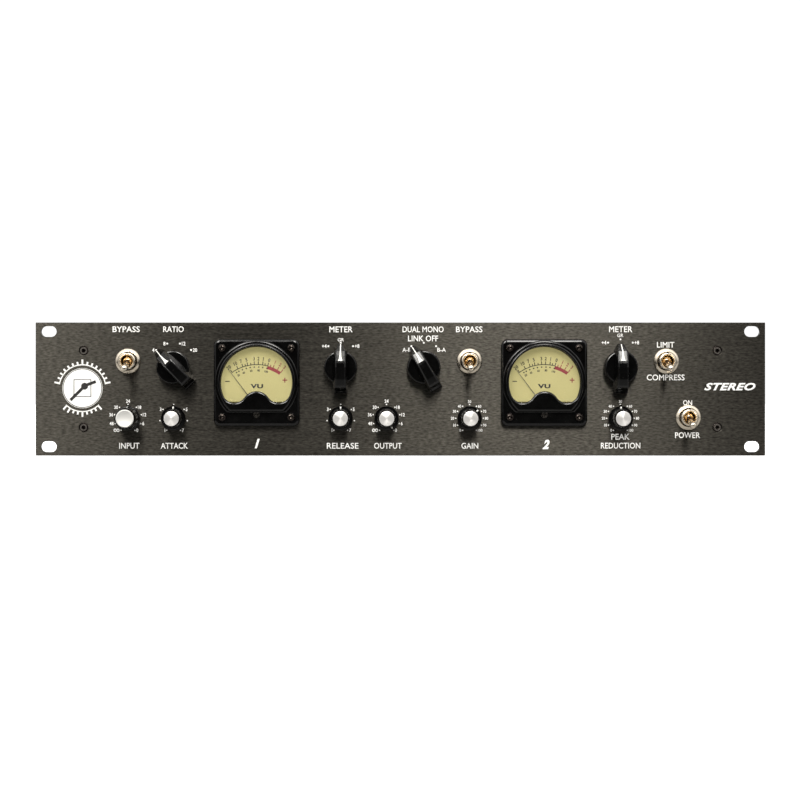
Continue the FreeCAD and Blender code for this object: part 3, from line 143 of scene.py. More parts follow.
def add_piece(name, bm, finish, body="chassis", place=None, rounding=0.0, crease=32.0):
    """Place a bmesh, give it its finish and let it ride on a body."""
    if place is not None:
        bmesh.ops.transform(bm, matrix=place, verts=bm.verts)
    bmesh.ops.recalc_face_normals(bm, faces=bm.faces)
    mesh = bpy.data.meshes.new(name)
    bm.to_mesh(mesh)
    bm.free()
    return add_mesh(name, mesh, finish, body, rounding, crease)


def add_mesh(name, mesh, finish, body="chassis", rounding=0.0, crease=32.0):
    """Give a placed mesh its finish, smooth all but its creases and let it ride on a body."""
    mesh.materials.clear()
    mesh.materials.append(finish)
    mesh.shade_smooth()
    mesh.set_sharp_from_angle(angle=math.radians(crease))
    piece = bpy.data.objects.new(name, mesh)
    bpy.context.scene.collection.objects.link(piece)
    if rounding:
        edge = piece.modifiers.new("rounded edges", "BEVEL")
        edge.width = rounding
        edge.segments = 3
        edge.limit_method = "ANGLE"
        edge.angle_limit = math.radians(crease)
    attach(piece, body)
    return piece


def lathe(bm, outline, steps=96, sweep=2 * math.pi):
    """Spin an outline of (radius, height) points, in millimetres, about the Z axis."""
    verts = [bm.verts.new((radius * MM, 0, height * MM)) for radius, height in outline]
    edges = [bm.edges.new(pair) for pair in zip(verts, verts[1:])]
    bmesh.ops.spin(bm, geom=verts + edges, cent=(0, 0, 0), axis=(0, 0, 1), dvec=(0, 0, 0),
                   angle=sweep, steps=steps, use_merge=sweep >= 2 * math.pi,
                   use_duplicate=False)
    bmesh.ops.remove_doubles(bm, verts=bm.verts, dist=SAME_SPOT)
    return bm


def ring(bm, outline, steps=96, sweep=2 * math.pi):
    """Spin a closed outline."""
    return lathe(bm, outline + outline[:1], steps, sweep)


def block(bm, x, y, z, width, height, depth, turn=0.0):
    """A block from its centre, in millimetres, turned clockwise about Z."""
    size = Matrix.Diagonal((width * MM, height * MM, depth * MM, 1))
    place = Matrix.Translation((x * MM, y * MM, z * MM)) @ Matrix.Rotation(
        -math.radians(turn), 4, "Z")
    return bmesh.ops.create_cube(bm, size=1, matrix=place @ size)["verts"]


def pour(source, target, place):
    """Move a bmesh to its place inside another one."""
    bmesh.ops.transform(source, matrix=place, verts=source.verts)
    mesh = bpy.data.meshes.new("poured")
    source.to_mesh(mesh)
    source.free()
    target.from_mesh(mesh)
    bpy.data.meshes.remove(mesh)


def dot(bm, x, y, radius, depth=INK_DEPTH, sides=20):
    """A printed spot of ink, or any flat round pad."""
    bmesh.ops.create_cone(bm, cap_ends=True, segments=sides, radius1=radius * MM,
                          radius2=radius * MM, depth=depth * MM,
                          matrix=Matrix.Translation((x * MM, y * MM, depth * MM / 2)))


def band(bm, radius, width, start, end, depth=INK_DEPTH, steps=48):
    """A flat arc band between two clockwise angles from the top."""
    verts = [bm.verts.new((0, r * MM, z * MM)) for r, z in (
        (radius, 0), (radius + width, 0), (radius + width, depth), (radius, depth))]
    edges = [bm.edges.new((verts[i], verts[(i + 1) % 4])) for i in range(4)]
    full = end - start >= 360
    bmesh.ops.rotate(bm, verts=verts, cent=(0, 0, 0),
                     matrix=Matrix.Rotation(-math.radians(start), 3, "Z"))
    ends = [] if full else [bm.faces.new(verts)]
    bmesh.ops.spin(bm, geom=verts + edges + ends, cent=(0, 0, 0), axis=(0, 0, -1),
                   dvec=(0, 0, 0), angle=math.radians(end - start), steps=steps,
                   use_merge=full, use_duplicate=False)


def extent(points):
    """The low and high corners of some points."""
    points = list(points)
    return (Vector([min(point[i] for point in points) for i in range(3)]),
            Vector([max(point[i] for point in points) for i in range(3)]))


def flat_curve(loops, thickness, rounding=0.0):
    """A plate with rounded rims from closed outlines in millimetres; inner ones are holes."""
    curve = bpy.data.curves.new("outline", "CURVE")
    curve.dimensions = "2D"
    curve.fill_mode = "BOTH"
    curve.extrude = (thickness / 2 - rounding) * MM
    curve.bevel_depth = rounding * MM
    curve.bevel_resolution = 3
    curve.offset = -rounding * MM
    for loop in loops:
        spline = curve.splines.new("POLY")
        spline.points.add(len(loop) - 1)
        for point, (x, y) in zip(spline.points, loop):
            point.co = (x * MM, y * MM, 0, 1)
        spline.use_cyclic_u = True
    return curve_mesh(curve)


def curve_mesh(curve):
    """Turn a curve or words into a mesh."""
    holder = bpy.data.objects.new("outline", curve)
    bpy.context.scene.collection.objects.link(holder)
    bpy.context.view_layer.update()
    shape = holder.evaluated_get(bpy.context.evaluated_depsgraph_get())
    mesh = bpy.data.meshes.new_from_object(shape)
    bpy.data.objects.remove(holder)
    bpy.data.curves.remove(curve)
    return mesh


def add_text(bm, words, x, y, height, width=None, turn=0.0, slant=0.0, weight=MARK_WEIGHT,
             align=0.0, depth=INK_DEPTH):
    """Print words, scaled to their cap height and width in millimetres.

    align is -1 to start at x, 0 to centre there and 1 to end there.
    """
    curve = bpy.data.curves.new("words", "FONT")
    curve.body = words
    curve.bevel_depth = weight
    curve.bevel_resolution = 0
    curve.shear = slant
    curve.space_character = 1.0 + 2 * weight
    curve.resolution_u = 3
    mesh = curve_mesh(curve)
    low, high = extent(vert.co for vert in mesh.vertices)
    span = high - low
    tall = height * MM / span.y
    wide = width * MM / span.x if width else tall * LETTER_WIDTH
    half = span.x * wide / MM / 2
    centre = Matrix.Translation(-(low + high) / 2)
    size = Matrix.Diagonal((wide, tall, depth * MM / span.z, 1))
    place = (Matrix.Translation(((x - align * half) * MM, y * MM, depth * MM / 2))
             @ Matrix.Rotation(-math.radians(turn), 4, "Z"))
    mesh.transform(place @ size @ centre)
    bm.from_mesh(mesh)
    bpy.data.meshes.remove(mesh)


# ---------------------------------------------------------------- materials

QUARTER_TURN = 0.25
# the part of the noise's range that is spread over its two limits
NOISE_LOW, NOISE_HIGH = 0.3, 0.7
# the panel's brushing: streaks per metre into the depth, their two shades, and the relief
STREAK_DEPTH, STREAK_SHADES, STREAK_DETAIL = 300, (0.56, 1.56), 5.0
GRAIN, GRAIN_RELIEF, GRAIN_STRENGTH = (60, 400, 2600), 0.00002, 0.35
DUST_SCALE, DUST_AMOUNT, DUST_COLOUR = 420, 0.028, (0.10, 0.09, 0.085)
INK_ROUGHNESS = 0.6


def noise_group():
    """Noise stretched along the axes, as a value between two limits and as a height."""
    if "stretched_noise" in bpy.data.node_groups:
        return bpy.data.node_groups["stretched_noise"]
    tree = bpy.data.node_groups.new("stretched_noise", "ShaderNodeTree")
    for name, kind in (("Stretch", "NodeSocketVector"), ("Detail", "NodeSocketFloat"),
                       ("Low", "NodeSocketFloat"), ("High", "NodeSocketFloat")):
        tree.interface.new_socket(name=name, in_out="INPUT", socket_type=kind)
    for name in ("Value", "Height"):
        tree.interface.new_socket(name=name, in_out="OUTPUT", socket_type="NodeSocketFloat")
    nodes, links = tree.nodes, tree.links
    given, result = nodes.new("NodeGroupInput"), nodes.new("NodeGroupOutput")
    place = nodes.new("ShaderNodeTexCoord")
    scale = nodes.new("ShaderNodeVectorMath")
    scale.operation = "MULTIPLY"
    noise = nodes.new("ShaderNodeTexNoise")
    noise.inputs["Scale"].default_value = 1.0
    spread = nodes.new("ShaderNodeMapRange")
    spread.inputs["From Min"].default_value = NOISE_LOW
    spread.inputs["From Max"].default_value = NOISE_HIGH
    links.new(place.outputs["Object"], scale.inputs[0])
    links.new(given.outputs["Stretch"], scale.inputs[1])
    links.new(scale.outputs[0], noise.inputs["Vector"])
    links.new(given.outputs["Detail"], noise.inputs["Detail"])
    links.new(noise.outputs[0], spread.inputs["Value"])
    links.new(given.outputs["Low"], spread.inputs["To Min"])
    links.new(given.outputs["High"], spread.inputs["To Max"])
    links.new(spread.outputs["Result"], result.inputs["Value"])
    links.new(noise.outputs[0], result.inputs["Height"])
    return tree


def speck_group():
    """Sparse fine dust: a mask that is 1 on the specks."""
    if "dust_specks" in bpy.data.node_groups:
        return bpy.data.node_groups["dust_specks"]
    tree = bpy.data.node_groups.new("dust_specks", "ShaderNodeTree")
    for name in ("Scale", "Amount"):
        tree.interface.new_socket(name=name, in_out="INPUT", socket_type="NodeSocketFloat")
    tree.interface.new_socket(name="Mask", in_out="OUTPUT", socket_type="NodeSocketFloat")
    nodes, links = tree.nodes, tree.links
    given, result = nodes.new("NodeGroupInput"), nodes.new("NodeGroupOutput")
    place = nodes.new("ShaderNodeTexCoord")
    cells = nodes.new("ShaderNodeTexVoronoi")
    small = nodes.new("ShaderNodeMath")
    small.operation = "LESS_THAN"
    links.new(place.outputs["Object"], cells.inputs["Vector"])
    links.new(given.outputs["Scale"], cells.inputs["Scale"])
    links.new(cells.outputs["Distance"], small.inputs[0])
    links.new(given.outputs["Amount"], small.inputs[1])
    links.new(small.outputs[0], result.inputs["Mask"])
    return tree


def effect(material, group, **values):
    """Place a node group in a material with its own values."""
    node = material.node_tree.nodes.new("ShaderNodeGroup")
    node.node_tree = group
    for name, number in values.items():
        node.inputs[name].default_value = number
    return node


def finish(name, slot, colour, roughness, metallic=0.0, **sockets):
    """A material for one of the record's slots, with plain values on its shader."""
    material = bpy.data.materials.new(name)
    material.use_nodes = True
    material["slot"] = slot
    shader = material.node_tree.nodes["Principled BSDF"]
    shader.inputs["Base Color"].default_value = (*colour[:3], 1)
    shader.inputs["Roughness"].default_value = roughness
    shader.inputs["Metallic"].default_value = metallic
    for socket, number in sockets.items():
        shader.inputs[socket.replace("_", " ")].default_value = number
    return material


def mix_colours(material, mask, first, second):
    """Blend the base colour from one colour or socket to another by a mask."""
    nodes, links = material.node_tree.nodes, material.node_tree.links
    mix = nodes.new("ShaderNodeMix")
    mix.data_type = "RGBA"
    a_side, b_side = (socket for socket in mix.inputs if socket.type == "RGBA")
    blend = next(socket for socket in mix.outputs if socket.type == "RGBA")
    if isinstance(first, bpy.types.NodeSocket):
        links.new(first, a_side)
    else:
        a_side.default_value = (*first, 1)
    b_side.default_value = (*second, 1)
    links.new(mask, mix.inputs["Factor"])
    links.new(blend, nodes["Principled BSDF"].inputs["Base Color"])


def vary_roughness(material, stretch, low, high, detail=3.0):
    """Drive the roughness between two limits by stretched noise."""
    nodes, links = material.node_tree.nodes, material.node_tree.links
    node = effect(material, noise_group(), Stretch=stretch, Detail=detail, Low=low, High=high)
    links.new(node.outputs["Value"], nodes["Principled BSDF"].inputs["Roughness"])


def vary_colour(material, stretch, dark, light, detail=4.0):
    """Mix two shades of the base colour through stretched noise."""
    node = effect(material, noise_group(), Stretch=stretch, Detail=detail, Low=0.0, High=1.0)
    base = material.node_tree.nodes["Principled BSDF"].inputs["Base Color"]
    colour = base.default_value[:3]
    mix_colours(material, node.outputs["Value"], [c * dark for c in colour],
                [c * light for c in colour])


def add_bump(material, stretch, distance, strength=1.0, detail=3.0):
    """Raise a fine relief from stretched noise."""
    nodes, links = material.node_tree.nodes, material.node_tree.links
    node = effect(material, noise_group(), Stretch=stretch, Detail=detail)
    bump = nodes.new("ShaderNodeBump")
    bump.inputs["Strength"].default_value = strength
    bump.inputs["Distance"].default_value = distance
    links.new(node.outputs["Height"], bump.inputs["Height"])
    links.new(bump.outputs["Normal"], nodes["Principled BSDF"].inputs["Normal"])


def add_dust(material, scale, amount, colour):
    """Pale specks over whatever drives the base colour."""
    base = material.node_tree.nodes["Principled BSDF"].inputs["Base Color"]
    under = base.links[0].from_socket if base.is_linked else base.default_value[:3]
    node = effect(material, speck_group(), Scale=scale, Amount=amount)
    mix_colours(material, node.outputs["Mask"], under, colour)


def around(material, axis="Z"):
    """Point a metal's grain round an axis, as a lathe or a belt leaves it."""
    nodes, links = material.node_tree.nodes, material.node_tree.links
    grain = nodes.new("ShaderNodeTangent")
    grain.direction_type = "RADIAL"
    grain.axis = axis
    links.new(grain.outputs[0], nodes["Principled BSDF"].inputs["Tangent"])


def brushed_panel():
    """Black anodised metal with its grain along the panel."""
    look = bpy.context.scene.rack_panel
    metal = finish("black_brushed_anodising", "panel_anodised", look.metal_colour,
                   look.roughness, 1.0, Anisotropic=look.brushing,
                   Anisotropic_Rotation=QUARTER_TURN)
    around(metal, "Z")
    vary_colour(metal, (look.streak_length, STREAK_DEPTH, look.streak_height), *STREAK_SHADES,
                STREAK_DETAIL)
    vary_roughness(metal, (25, 300, 900), look.roughness - 0.06, look.roughness + 0.06)
    add_bump(metal, GRAIN, GRAIN_RELIEF, GRAIN_STRENGTH)
    return metal


def ink(name="legend_ink", colour=None, slot="panel_anodised"):
    """Printing ink, on the panel unless another slot is given."""
    look = bpy.context.scene.rack_panel
    paint = finish(name, slot, colour or look.ink_colour, INK_ROUGHNESS)
    vary_colour(paint, (900, 900, 900), 0.94, 1.03)
    return paint


def gloss_black(name, slot):
    """Polished black moulding with a little dust."""
    look = bpy.context.scene.rack_knobs
    plastic = finish(name, slot, look.body_colour, look.roughness, Specular_IOR_Level=0.5)
    vary_roughness(plastic, (160, 160, 160), look.roughness - 0.04, look.roughness + 0.06)
    add_bump(plastic, (700, 700, 700), 0.00001, 0.2)
    add_dust(plastic, DUST_SCALE, DUST_AMOUNT, DUST_COLOUR)
    return plastic


def plated(name, colour, roughness):
    """Plated or bare metal of the toggles, with faint handling marks."""
    metal = finish(name, "nickel_plate", colour, roughness, 1.0)
    vary_roughness(metal, (250, 250, 250), roughness - 0.03, roughness + 0.04)
    vary_colour(metal, (250, 250, 250), 0.95, 1.03)
    return metal


def cast_finish(name, slot, colour, roughness, metallic, size, depth):
    """Moulded plastic, powder coat or plain metal: one colour with its grain and relief."""
    made = finish(name, slot, colour, roughness, metallic)
    vary_colour(made, (size, size, size), 0.88, 1.1)
    vary_roughness(made, (size / 2, size / 2, size / 2), roughness - 0.07, roughness + 0.07)
    add_bump(made, (size, size, size), depth, 0.5)
    return made


def dress(node, material):
    """Give a node its material."""
    slots = frame["nodes"][node].data.materials
    slots.clear()
    slots.append(material)


# ---------------------------------------------------------------- settings

def size_prop(name, text, value):
    return FloatProperty(name=name, description=text, default=value, unit="LENGTH", min=0.0)


def colour_prop(name, text, value):
    return FloatVectorProperty(name=name, description=text, default=value, subtype="COLOR",
                               size=3, min=0.0, max=1.0)


def share_prop(name, text, value, low=0.0, high=1.0):
    return FloatProperty(name=name, description=text, default=value, min=low, max=high)


class RACK_PG_panel(bpy.types.PropertyGroup):
    """Front panel and its printing."""
    metal_colour: colour_prop("Metal", "Colour of the anodised metal", (0.057, 0.0535, 0.0460))
    roughness: share_prop("Roughness", "How far the brushing spreads a highlight", 0.36)
    brushing: share_prop("Brushing", "How much the grain stretches a highlight", 0.95)
    streak_length: share_prop("Streak length", "Streaks per metre along the grain", 330, 1, 1e4)
    streak_height: share_prop("Streak height", "Streaks per metre across it", 1050, 1, 1e5)
    ink_colour: colour_prop("Ink", "Colour of the printed legends", (0.95, 0.95, 0.93))


class RACK_PG_knobs(bpy.types.PropertyGroup):
    """Pointer knobs, selector knobs and their caps."""
    body_colour: colour_prop("Body", "Colour of the moulded knobs", (0.001, 0.001, 0.001))
    roughness: share_prop("Roughness", "Roughness of the polished plastic", 0.16, 0.05)
    line_colour: colour_prop("Line", "Colour of the pointer line", (0.88, 0.88, 0.84))
    cap_colour: colour_prop("Cap", "Colour of the metal caps", (0.96, 0.95, 0.93))
    flutes: IntProperty(name="Flutes", description="Grip flutes round a knob", default=30,
                        min=6, max=90)
    flute_depth: size_prop("Flute depth", "Depth of a grip flute", 0.16 * MM)


class RACK_PG_toggles(bpy.types.PropertyGroup):
    """Bat toggles with their bushings and dress nuts."""
    plate_colour: colour_prop("Plating", "Colour of the nickel plating", (0.90, 0.81, 0.67))
    roughness: share_prop("Roughness", "Roughness of the plating", 0.24, 0.06)
    thread_pitch: size_prop("Thread pitch", "Pitch of the bushing's thread", 0.8 * MM)


class RACK_PG_meters(bpy.types.PropertyGroup):
    """Level meters."""
    dial_colour: colour_prop("Dial", "Colour of the dial card", (0.60, 0.54, 0.235))
    # the dial glow is painted light: emission on the card that lifts the hub's shadow off the dial
    painted_dial_glow: share_prop("Dial glow", "Light of the lamp behind the dial card", 0.45)
    scale_colour: colour_prop("Scale", "Colour of the printed scale", (0.012, 0.011, 0.009))
    red_colour: colour_prop("Red", "Colour of the upper scale", (0.24, 0.035, 0.04))
    rim: size_prop("Rim", "Rounding of the bezel's edges", 1.95 * MM)


class RACK_PG_case(bpy.types.PropertyGroup):
    """Case sheets and rear fittings."""
    paint_colour: colour_prop("Paint", "Colour of the powder coat", (0.018, 0.018, 0.018))
    paint_grain: share_prop("Grain", "Grains of the coat per metre", 1500, 10, 1e5)


class RACK_PG_stage(bpy.types.PropertyGroup):
    """Camera, floor and lights."""
    distance: size_prop("Distance", "Camera distance from the mounting face", 1.233)
    offset: size_prop("Offset", "How far left of the middle the camera stands", 0.02)
    lens: share_prop("Lens", "Focal length in millimetres", 83.68, 10, 300)
    floor_colour: colour_prop("Floor", "Colour of the floor", (0.9, 0.9, 0.9))
    floor_glow: share_prop("Floor glow", "Light the floor adds to its own", 0.92, 0.0, 2.0)
    surround: share_prop("Surround", "Brightness of the walls round the set", 1.25, 0.0, 5.0)
    strength: share_prop("Light", "Strength of all the lights together", 1.0, 0.0, 20.0)


# ---------------------------------------------------------------- legends

# words, joint whose axis they stand by, offset right and up, cap height, width; millimetres
LEGENDS = (
    ("BYPASS", "left_bypass_throw", -1.2, 21.1, 3.9, 18.0),
    ("RATIO", "ratio_turn", -0.1, 25.3, 3.9, 13.6),
    ("METER", "left_meter_turn", 0.2, 25.2, 3.9, 15.4),
    ("GR", "left_meter_turn", 0.1, 18.3, 2.3, 4.1),
    ("DUAL MONO", "link_turn", -0.4, 25.2, 3.9, 27.2),
    ("LINK OFF", "link_turn", -0.4, 19.2, 3.9, 19.9),
    ("A-B", "link_turn", -11.3, 11.7, 2.7, 5.6),
    ("B-A", "link_turn", 11.8, 11.7, 2.7, 5.6),
    ("BYPASS", "right_bypass_throw", -0.2, 21.0, 3.9, 17.5),
    ("METER", "right_meter_turn", 0.2, 25.3, 3.9, 15.4),
    ("GR", "right_meter_turn", -0.1, 21.2, 2.3, 4.1),
    ("LIMIT", "limit_throw", -0.4, 10.8, 3.7, 11.5),
    ("COMPRESS", "limit_throw", -0.4, -10.8, 3.9, 25.0),
    ("INPUT", "input_turn", 0.9, -18.2, 3.9, 13.4),
    ("ATTACK", "attack_turn", 0.5, -18.2, 3.9, 17.9),
    ("RELEASE", "release_turn", 1.3, -18.2, 3.9, 20.9),
    ("OUTPUT", "output_turn", 0.9, -18.2, 3.9, 18.3),
    ("GAIN", "gain_turn", 0.2, -18.2, 3.9, 11.1),
    ("PEAK", "peak_turn", 0.0, -12.2, 3.9, 12.1),
    ("REDUCTION", "peak_turn", 0.1, -18.1, 3.9, 26.1),
    ("ON", "power_throw", -0.4, 9.7, 3.3, 6.0),
    ("POWER", "power_throw", -0.4, -11.8, 3.9, 16.5),
)
CHANNEL_NUMBERS = (("1", "left", 0.2, -40.2, 6.3), ("2", "right", 1.4, -40.8, 6.3))
UNIT_WORD = ("STEREO", 217.9, 1.6, 5.0, 34.0)

SEVEN_MARKS = ("1", "", "3", "", "5", "", "7")
NINE_MARKS = ("\u221e", "48", "36", "30", "24", "18", "12", "6", "0")
ELEVEN_MARKS = tuple(str(10 * step) for step in range(11))
POT_MARKS = {"input": NINE_MARKS, "attack": SEVEN_MARKS, "release": SEVEN_MARKS,
             "output": NINE_MARKS, "gain": ELEVEN_MARKS, "peak": ELEVEN_MARKS}
SELECTOR_MARKS = {"ratio": (30, ("4", "8", "12", "20")), "left_meter": (30, ("+4", "", "+8")),
                  "link": (30, ("", "", "")), "right_meter": (30, ("+4", "", "+8"))}


# spacing of the marks round the controls, in millimetres
MARK_GAP = 0.55
POT_RING = {"radius": 9.15, "spot_radius": 0.45}
SELECTOR_RING = {"radius": 16.3, "spot_radius": 0.62}
POT_SWEEP = 300
DENSE_COUNT, DENSE_HEIGHT, SPARSE_HEIGHT, SELECTOR_HEIGHT = 9, 1.9, 2.3, 2.5
RIGHT_METER_LIFT = 2.3


def print_marks(bm, centre, first, step, words, radius, spot_radius, height):
    """Dots round a control, with each label on the dot's outer side."""
    x0, z0 = centre[0] / MM, centre[1] / MM
    for place, word in enumerate(words):
        angle = first + step * place
        dx, dz = on_dial(angle, radius)
        x, z = x0 + dx, z0 + dz
        dot(bm, x, z, spot_radius)
        if not word:
            continue
        above = abs(dx) < 0.25 * radius and dz > 0
        side = 0 if above else math.copysign(1, dx)
        gap = spot_radius + MARK_GAP
        if side == 0:
            add_text(bm, word, x, z + height / 2 + gap, height)
        else:
            add_text(bm, word, x + side * gap, z, height, align=-side)


def print_legends():
    """Print the words, the channel numbers and the marks round each control."""
    bm = bmesh.new()
    for words, joint, dx, dz, height, width in LEGENDS:
        x, z = spot(joint)
        add_text(bm, words, x / MM + dx, z / MM + dz, height, width, weight=LEGEND_WEIGHT)
    for words, side, dx, dz, height in CHANNEL_NUMBERS:
        x, z = meter_spot(side)
        add_text(bm, words, x / MM + dx, z / MM + dz, height, slant=BOLD_SLANT,
                 weight=NUMBER_WEIGHT)
    words, x, z, height, width = UNIT_WORD
    add_text(bm, words, x, z, height, width, slant=BOLD_SLANT, weight=UNIT_WEIGHT)
    for name, words in POT_MARKS.items():
        step = POT_SWEEP / (len(words) - 1)
        height = DENSE_HEIGHT if len(words) > DENSE_COUNT else SPARSE_HEIGHT
        print_marks(bm, spot(f"{name}_turn"), FIRST_MARK["pot"], step, words, height=height,
                    **POT_RING)
    for name, (step, words) in SELECTOR_MARKS.items():
        lift = RIGHT_METER_LIFT if name == "right_meter" else 0.0
        x, z = spot(f"{name}_turn")
        print_marks(bm, (x, z + lift * MM), FIRST_MARK[name], step, words,
                    height=SELECTOR_HEIGHT, **SELECTOR_RING)
    add_piece("panel_legends", bm, ink(), place=facing(0, 0))


EMBLEM_PLACE = (-210.3, 0.6)
EMBLEM_RADIUS = 12.5
HAIRLINE = (13.0, 0.25)
BAR_RING = (15.1, 0.7)
BAR_FOOT, BAR_WIDTH, BAR_SHORT, BAR_TALL = 15.5, 1.15, 2.2, 3.4
BAND_OVERRUN = 2.6
# clockwise angles of the two rows of bars, how many there are, and which ones are tall
BAR_ROWS = ((-78, 78, 15, (0, 7, 14)), (138, 222, 9, (0, 4, 7, 8)))
FRAME_HALF, FRAME_LINE = 5.6, 0.5
LEVEL_CURVE = ((-7.6, -7.6), (0.6, 0.6), (2.4, 2.0), (8.4, 4.2))
CURVE_WIDTH, CURVE_OVERLAP = 2.0, 1.0
KNEE = (1.4, 1.3, 2.3)
EMBLEM_LAYERS = {"frame": 0.05, "curve": 0.06, "knee": 0.065}


def print_emblem():
    """White disc with a level curve that bends over at a threshold, in a ring of bold bars."""
    white, dark = ink("emblem_ink"), ink("emblem_ground", (0.012, 0.011, 0.010))
    place = facing(*(offset * MM for offset in EMBLEM_PLACE))
    bm = bmesh.new()
    dot(bm, 0, 0, EMBLEM_RADIUS, sides=96)
    band(bm, *HAIRLINE, 0, 360, steps=120)
    for start, end, count, tall_ones in BAR_ROWS:
        band(bm, *BAR_RING, start - BAND_OVERRUN, end + BAND_OVERRUN, steps=60)
        for index in range(count):
            angle = start + (end - start) * index / (count - 1)
            tall = BAR_TALL if index in tall_ones else BAR_SHORT
            dx, dy = on_dial(angle, BAR_FOOT + tall / 2)
            block(bm, dx, dy, INK_DEPTH / 2, BAR_WIDTH, tall, INK_DEPTH, angle)
    add_piece("emblem_disc", bm, white, place=place)
    bm = bmesh.new()
    depth = EMBLEM_LAYERS["frame"]
    for side in (-FRAME_HALF, FRAME_HALF):
        block(bm, 0, side, depth / 2, 2 * FRAME_HALF, FRAME_LINE, depth)
        block(bm, side, 0, depth / 2, FRAME_LINE, 2 * FRAME_HALF + FRAME_LINE, depth)
    depth = EMBLEM_LAYERS["curve"]
    for (x1, y1), (x2, y2) in zip(LEVEL_CURVE, LEVEL_CURVE[1:]):
        run, rise = x2 - x1, y2 - y1
        block(bm, (x1 + x2) / 2, (y1 + y2) / 2, depth / 2, math.hypot(run, rise) + CURVE_OVERLAP,
              CURVE_WIDTH, depth, -math.degrees(math.atan2(rise, run)))
    dot(bm, *KNEE, depth=EMBLEM_LAYERS["knee"], sides=32)
    add_piece("emblem_curve", bm, dark, place=place)


# ---------------------------------------------------------------- knobs

# along the pointer, half width at the foot, half width at the top, height; millimetres
BAR_STATIONS = (
    (15.8, 1.5, 0.9, 3.0), (15.4, 2.2, 1.5, 4.2), (13.4, 3.3, 2.3, 7.2), (11.5, 4.2, 2.9, 10.6),
    (11.0, 4.4, 3.1, 11.7), (10.6, 4.6, 3.2, 12.1), (7.4, 5.3, 3.3, 13.5), (4.1, 5.6, 3.35, 14.7),
    (2.6, 5.7, 3.4, 15.0), (0.0, 5.8, 3.4, 15.15), (-4.0, 5.8, 3.45, 15.0),
    (-8.0, 5.7, 3.5, 14.5), (-12.0, 5.2, 3.7, 13.6), (-13.4, 5.0, 3.8, 12.9),
    (-14.2, 4.9, 3.9, 10.8), (-15.0, 4.8, 4.1, 6.4), (-16.3, 4.7, 4.1, 5.4),
    (-16.9, 4.2, 3.8, 4.6))
# the bar starts inside the round base, and reaches down to the panel outside it
BASE_RADIUS, BASE_CORE = 11.3, 5.0
CHANNEL_DEPTH = 0.22
RIM_DROP, RIM_INSET, CHANNEL_INSET = 0.25, 0.55, 0.85
SELECTOR_BASE = [(0, 4.2), (7.4, 4.2), (7.4, KNOB_GAP), (11.0, KNOB_GAP), (11.25, 0.9),
                 (11.25, 1.7), (11.1, 4.2), (10.85, 6.2), (10.6, 6.85), (10.1, 7.1), (0, 7.2)]
# along the pointer and half width of its painted line
POINTER_LINE = ((15.3, 0.28), (13.4, 0.30), (11.5, 0.32), (11.0, 0.34), (10.6, 0.36),
                (7.4, 0.62), (5.6, 0.95), (4.2, 1.5))


def bar_section(station):
    """Points of the bar across one station: foot, flank, rim and sunk channel."""
    along, foot, top, height = station
    low = KNOB_GAP if abs(along) > BASE_RADIUS else BASE_CORE
    flank = (foot * 0.45 + top * 0.55, low + (height - low) * 0.6)
    rim = max(top - RIM_INSET, top * 0.5)
    sunk = max(top - CHANNEL_INSET, top * 0.4)
    half = [(foot, low), flank, (top, height - RIM_DROP), (rim, height),
            (sunk, height - CHANNEL_DEPTH)]
    return [Vector((side * x * MM, along * MM, z * MM))
            for side, row in ((1, half), (-1, half[::-1])) for x, z in row]


def selector_bar(bm):
    """Extrude the bar's section from station to station and shape each one."""
    section = bar_section(BAR_STATIONS[0])
    face = bm.faces.new([bm.verts.new(point) for point in section])
    for station in BAR_STATIONS[1:]:
        made = bmesh.ops.extrude_face_region(bm, geom=[face])["geom"]
        face = next(item for item in made if isinstance(item, bmesh.types.BMFace))
        shaped = bar_section(station)
        for vert in face.verts:
            nearest = min(range(len(section)), key=lambda i: (section[i] - vert.co).length)
            vert.co = shaped[nearest]
        section = shaped


def selector_knobs():
    """A round base with a tapered bar over it and a painted line along the bar."""
    plastic = gloss_black("knob_black", "knob_gloss")
    paint = ink("pointer_line", bpy.context.scene.rack_knobs.line_colour, "knob_gloss")
    for name in SELECTORS:
        place = facing(*spot(f"{name}_turn"), turn=rest_turn(name))
        bm = bmesh.new()
        lathe(bm, SELECTOR_BASE, 128)
        selector_bar(bm)
        piece = add_piece(f"{name}_pointer_knob", bm, plastic, f"{name}_selector", place,
                          rounding=0.18 * MM, crease=24)
        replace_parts(piece, f"{name}_knob")
        bm = bmesh.new()
        strip(bm, [(along, half, top_height(along)) for along, half in POINTER_LINE])
        add_piece(f"{name}_pointer_line", bm, paint, f"{name}_selector", place)


def top_height(along):
    """Height of the bar's channel at a place along it."""
    for (a, _, _, high), (b, _, _, low) in zip(BAR_STATIONS, BAR_STATIONS[1:]):
        if b <= along <= a:
            return low + (high - low) * (along - b) / (a - b) - CHANNEL_DEPTH
    return BAR_STATIONS[0][3]


def strip(bm, stations, depth=0.06):
    """A thin painted strip from (along, half width, height) stations, run up the Y axis."""
    pairs = [[bm.verts.new((side * half * MM, along * MM, height * MM)) for side in (-1, 1)]
             for along, half, height in stations]
    faces = [bm.faces.new((a, b, d, c)) for (a, b), (c, d) in zip(pairs, pairs[1:])]
    raised = bmesh.ops.extrude_face_region(bm, geom=faces)["geom"]
    verts = [item for item in raised if isinstance(item, bmesh.types.BMVert)]
    bmesh.ops.translate(bm, vec=(0, 0, depth * MM), verts=verts)


# a skirted knob: width and height over the skirt, and the skirt's own upper face
BIG_KNOB, SMALL_KNOB = (14.4, 16.4), (12.4, 14.4)
SKIRT_RADIUS, SKIRT_RISE = 8.0, 3.14
NUT_HOLLOW_HEIGHT = 3.6
CAP_SEAT = 0.5
FLUTE_FOOT, FLUTE_REACH = 3.8, 0.95
